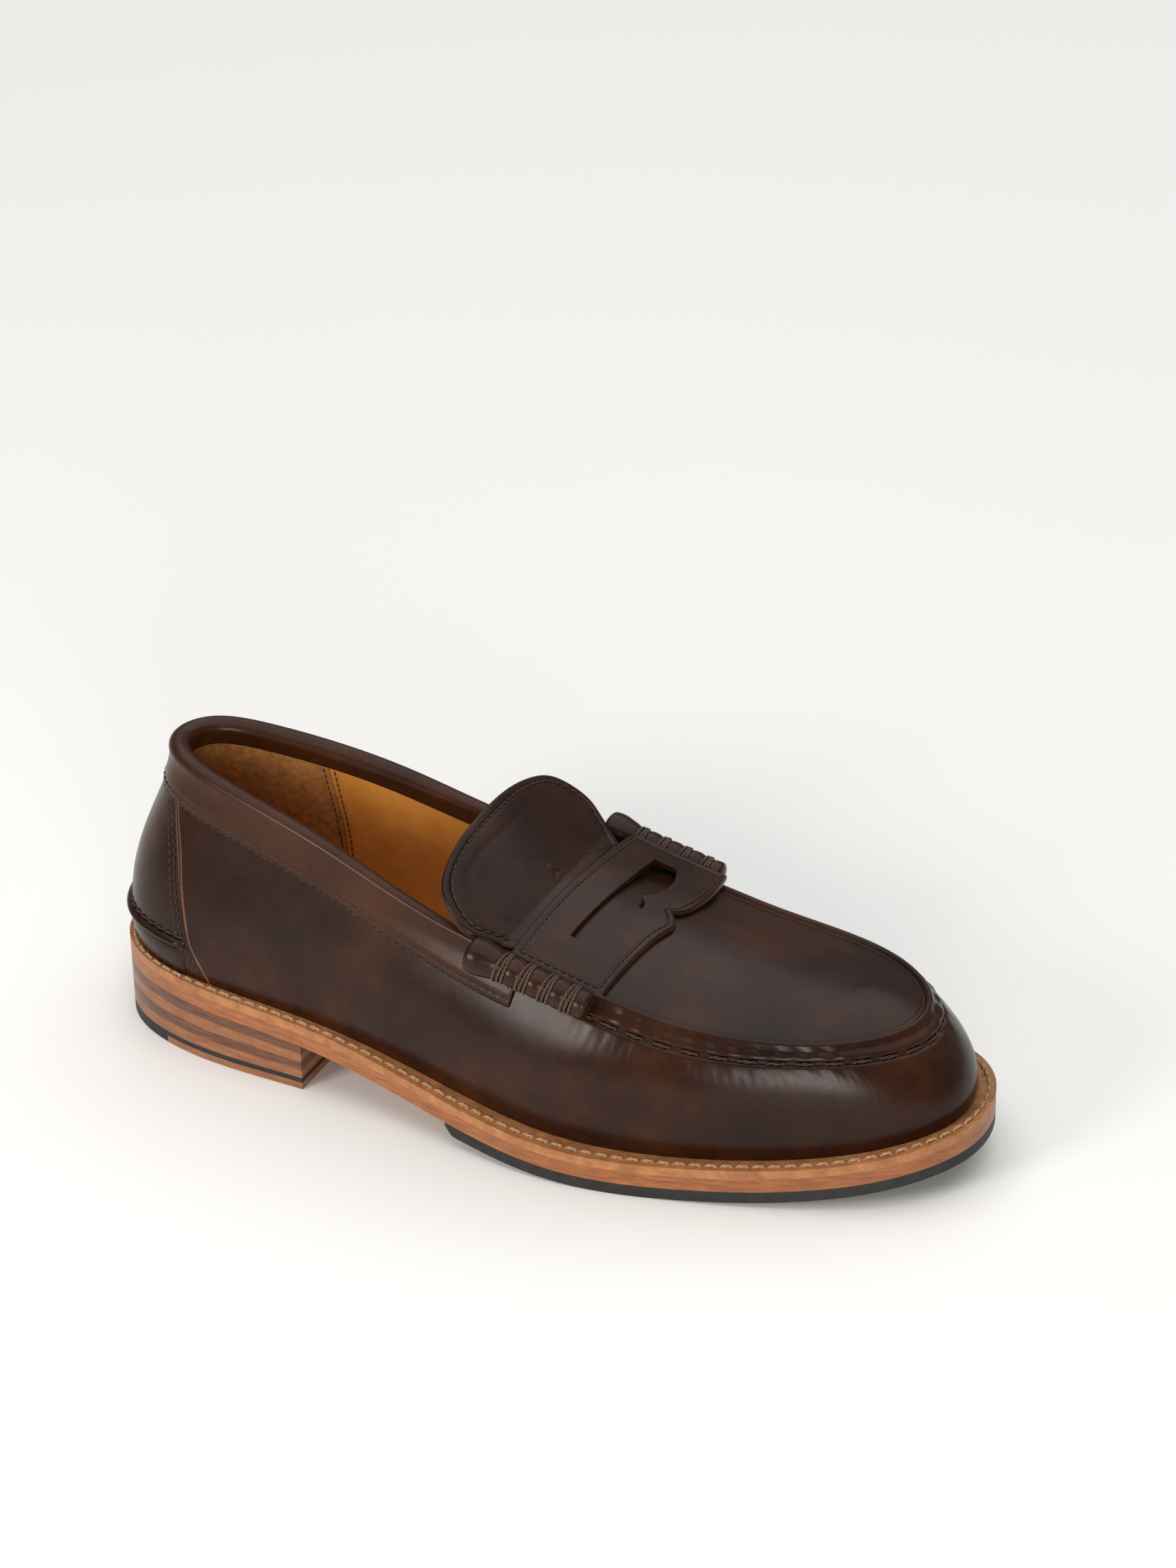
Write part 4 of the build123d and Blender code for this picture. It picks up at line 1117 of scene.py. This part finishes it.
def build_roll(side):
    """Rolled leather with its long seam on the underside."""
    share = np.linspace(-0.07, 1.03, 110)
    axis = roll_axis(side, share)
    tangent = tangents(axis)
    across = np.cross(tangent, np.array([0, 0, 1.0]))
    across /= np.linalg.norm(across, axis=1)[:, None]
    up = np.cross(across, tangent)
    sides = 64
    turn = np.linspace(0, 2 * math.pi, sides, endpoint=False)
    seam_at = 4.4
    from_seam = np.abs(turn - seam_at)
    from_seam = np.minimum(from_seam, 2 * math.pi - from_seam)
    radius = roll_radius(share)[:, None] - 0.5 * np.exp(-(from_seam / 0.09) ** 2)[None]
    ring = np.cos(turn)[None, :, None] * across[:, None] + ROLL_FLAT * np.sin(turn)[None, :, None] * up[:, None]
    verts = (axis[:, None] + radius[..., None] * ring).reshape(-1, 3)
    faces = grid_faces(len(share), sides, close_cols=True) + end_caps(len(share), sides)
    return make_object(f"beef_roll_leather_{ROLL_NAMES[side]}", verts, faces, UPPER)


def build_roll_cord(side):
    """Four wraps of three strands, each strand of two twisted plies."""
    bundle = Bundle()
    turn = np.linspace(0, 2 * math.pi, 72, endpoint=False)
    tangent = roll_axis(side, 1.0) - roll_axis(side, 0.0)
    tangent /= np.linalg.norm(tangent)
    across = np.cross(tangent, np.array([0, 0, 1.0]))
    across /= np.linalg.norm(across)
    up = np.cross(across, tangent)
    for place in WRAP_PLACES:
        for strand in (-1, 0, 1):
            wander = 0.012 * np.sin(turn + strand) + rng.normal(0, 0.0012)
            share = place + strand * WRAP_SPACING / ROLL_LENGTH + wander
            radius = (roll_radius(share) + 0.32 + (0.18 if strand == 0 else 0))[:, None]
            away = radius * (np.cos(turn)[:, None] * across + ROLL_FLAT * np.sin(turn)[:, None] * up)
            path = roll_axis(side, share) + away
            for ply in (0, math.pi):
                phase = (turn * 12 + ply)[:, None]
                twisted = path + 0.2 * np.cos(phase) * tangent + 0.2 * np.sin(phase) * away / radius
                bundle.add(*tube(twisted, PLY_R, away, 6, closed=True))
    return bundle.build(f"roll_cord_{ROLL_NAMES[side]}", STITCH_CORD)


for roll_side, roll_name in ROLL_NAMES.items():
    ride(build_roll(roll_side), f"beef_roll_{roll_name}")
    ride(build_roll_cord(roll_side), f"roll_thread_{roll_name}", slot="waxed_thread")

# ---------------------------------------------------------------- tongue
TONGUE_TILT = math.radians(37.0)
TONGUE_BASE = np.array([112.6, CREST_Y, 70.0])
# Across and up, half of the free edge.
TONGUE_EDGE = np.array([(37, 0.0), (40, 5), (42.5, 11), (41.5, 18), (37.5, 24.5), (28, 29.3), (15, 31.9),
                        (0, 32.6)])
TONGUE_CROWN = 170.0  # radius across the outer half; the inner half is flatter
INNER_FLATTER = 1.6
ROOT_TILT = math.radians(20.0)  # slope of the part tucked under the strap
TONGUE_ROOT = -5.5
TONGUE_LEATHER = 1.3
TONGUE_STITCH_INSET = 3.0


def tongue_point(across, up, lift):
    """Point over the tongue's bent sheet: across it, up its slope, and above its face."""
    slope = np.where(up > 0, TONGUE_TILT, ROOT_TILT)
    drop = across**2 / (2 * np.where(across > 0, TONGUE_CROWN * INNER_FLATTER, TONGUE_CROWN))
    x = TONGUE_BASE[0] - up * np.cos(slope) + (lift - drop) * math.sin(TONGUE_TILT)
    z = TONGUE_BASE[2] + up * np.sin(slope) + (lift - drop) * math.cos(TONGUE_TILT)
    return np.stack([x, TONGUE_BASE[1] + across, z], axis=-1)


def tongue_outline():
    """Closed outline, across and up: round the free edge and back along the root."""
    left = np.column_stack([-TONGUE_EDGE[:, 0], TONGUE_EDGE[:, 1]])[::-1]
    left[-3:, 0] -= (0.3, 0.6, 1.0)
    full = np.vstack([[(32, TONGUE_ROOT)], TONGUE_EDGE, left[1:], [(-36, TONGUE_ROOT)]])
    step = lengths_along(full)
    at = np.linspace(0, step[-1], 240)
    bend = np.column_stack([natural(step, full[:, 0], at), natural(step, full[:, 1], at)])
    base = np.column_stack([np.linspace(-36, 32, 60)[1:], np.full(59, TONGUE_ROOT)])
    return np.vstack([bend, base])


def build_tongue():
    """Leather, flesh side and stitching of the tongue."""
    edge = tongue_outline()
    r = np.concatenate([np.linspace(0.0, 0.85, 24), np.linspace(0.87, 1.0, 16)])
    centre = np.tile((0.0, 6.0), (len(edge), 1))
    flat = centre[:, None] + (edge - centre)[:, None] * r[None, :, None]
    size = np.linalg.norm(edge - centre, axis=1)[:, None]
    inset = (1 - r)[None] * size
    lift = -0.35 * (1 - np.clip(inset / 0.7, 0, 1)) ** 2
    lift -= 0.28 * np.exp(-((inset - TONGUE_STITCH_INSET) / 0.45) ** 2)
    lift -= 0.10 * np.exp(-((inset - 9.0) / 0.8) ** 2) * (flat[..., 1] > 2)

    def sheet(width, depth):
        return tongue_point(flat[..., 0] * width, flat[..., 1], depth)

    level = np.ones_like(lift)
    narrower = 0.992
    grain_side = shell(sheet(1.0, lift), sheet(1.0, -TONGUE_LEATHER * level))
    flesh_side = shell(sheet(narrower, -1.32 * level), sheet(narrower, -1.95 * level))
    leather = make_object("tongue_leather", *grain_side, UPPER)
    under = make_object("tongue_underside", *flesh_side, RAW_EDGE)
    bundle = Bundle()
    inner_line = centre + (edge - centre) * (1 - TONGUE_STITCH_INSET / size)
    inner_line = inner_line[inner_line[:, 1] > -1]
    line = tongue_point(inner_line[:, 0], inner_line[:, 1], np.full(len(inner_line), -0.12))
    normal = np.tile(np.array([math.sin(TONGUE_TILT), 0, math.cos(TONGUE_TILT)]), (len(inner_line), 1))
    stitches(bundle, line, normal, 3.0, 2.35, 0.33)
    return leather, under, bundle.build("tongue_stitching", STITCH_DARK)


def place_tongue():
    """Builds the tongue's pieces, bent at the hinge at their root, bakes their transforms and hides the frame's
    tongue.
    """
    leather, under, thread = build_tongue()
    for piece, slot_name in ((leather, "upper_leather"), (under, "lining_leather"), (thread, "waxed_thread")):
        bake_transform(piece)
    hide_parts("tongue")
    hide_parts("tongue_lining")


place_tongue()


# ---------------------------------------------------------------- welt stitching
WELT_STITCH_INSET = 0.38  # share of the welt's width


def build_welt_stitching():
    """Two-ply stitches all round the welt."""
    s = np.linspace(0, TOTAL, 1600)
    spot = inside_edge(s, WELT_STITCH_INSET * welt_width(s))
    path = np.column_stack([spot, sole_height(spot[:, 0]) + WELT_TOP + 0.05])
    slope = sole_height(spot[:, 0] + 0.5) - sole_height(spot[:, 0] - 0.5)
    normal = np.column_stack([-slope, np.zeros(len(s)), np.ones(len(s))])
    normal /= np.linalg.norm(normal, axis=1)[:, None]
    bundle = Bundle()
    stitches(bundle, path, normal, 4.8, 3.9, 0.52, strands=2, rings=9)
    return bundle.build("welt_stitching", STITCH_NATURAL)


ride(build_welt_stitching(), "welt_stitches", slot="welt_thread")


# ---------------------------------------------------------------- floor, light and camera
def build_stage():
    bpy.ops.mesh.primitive_plane_add(size=8, location=(0, 0, -0.0002))
    floor = bpy.context.object
    floor.name = "floor"
    material, _, shader, _ = new_material("floor")
    shader.inputs["Base Color"].default_value = (0.93, 0.93, 0.915, 1)
    shader.inputs["Roughness"].default_value = 0.65
    floor.data.materials.append(material)


def area_light(name, location, target, size, power, colour=(1, 1, 1)):
    data = bpy.data.lights.new(name, "AREA")
    data.shape = "RECTANGLE"
    data.size, data.size_y = size
    data.energy = power
    data.color = colour
    lamp = bpy.data.objects.new(name, data)
    lamp.location = location
    lamp.rotation_euler = (Vector(target) - Vector(location)).to_track_quat("-Z", "Y").to_euler()
    bpy.context.collection.objects.link(lamp)


WARM = (1.0, 0.95, 0.89)


def build_light():
    """Wide soft light from above, two small warm ones low at the front, and a weak even sky."""
    middle = (0.12, 0, 0.04)
    area_light("overhead", (0.0, 1.2, 3.0), (0.0, 1.2, 0.0), (4.8, 5.8), 116)
    area_light("front_left", (-0.55, -1.25, 0.62), middle, (0.5, 0.5), 11, WARM)
    area_light("front_right", (0.85, -1.15, 0.40), middle, (0.5, 0.4), 8, WARM)
    world = bpy.data.worlds.new("world")
    world.use_nodes = True
    sky = world.node_tree.nodes["Background"]
    sky.inputs["Color"].default_value = (1, 1, 0.985, 1)
    sky.inputs["Strength"].default_value = 0.22
    bpy.context.scene.world = world
    bpy.context.scene.view_settings.view_transform = "Standard"


CAMERA_TURN = (25.616, 29.0, -1.0)  # azimuth, elevation and roll in degrees
CAMERA_TARGET = (0.03922, 0.17341, 0.0)
CAMERA_DISTANCE = 1.43
CAMERA_LENS = 91.95


def build_camera():
    azimuth, elevation, roll = (math.radians(v) for v in CAMERA_TURN)
    level = math.cos(elevation)
    back = Vector((math.sin(azimuth) * level, -math.cos(azimuth) * level, math.sin(elevation)))
    right = Vector((math.cos(azimuth), math.sin(azimuth), 0))
    up = back.cross(right)
    right_rolled = math.cos(roll) * right + math.sin(roll) * up
    up_rolled = -math.sin(roll) * right + math.cos(roll) * up
    data = bpy.data.cameras.new("camera")
    data.lens = CAMERA_LENS
    camera = bpy.data.objects.new("camera", data)
    matrix = Matrix((right_rolled, up_rolled, back)).transposed().to_4x4()
    matrix.translation = Vector(CAMERA_TARGET) + back * CAMERA_DISTANCE
    camera.matrix_world = matrix
    bpy.context.collection.objects.link(camera)
    bpy.context.scene.camera = camera


build_stage()
build_light()
build_camera()
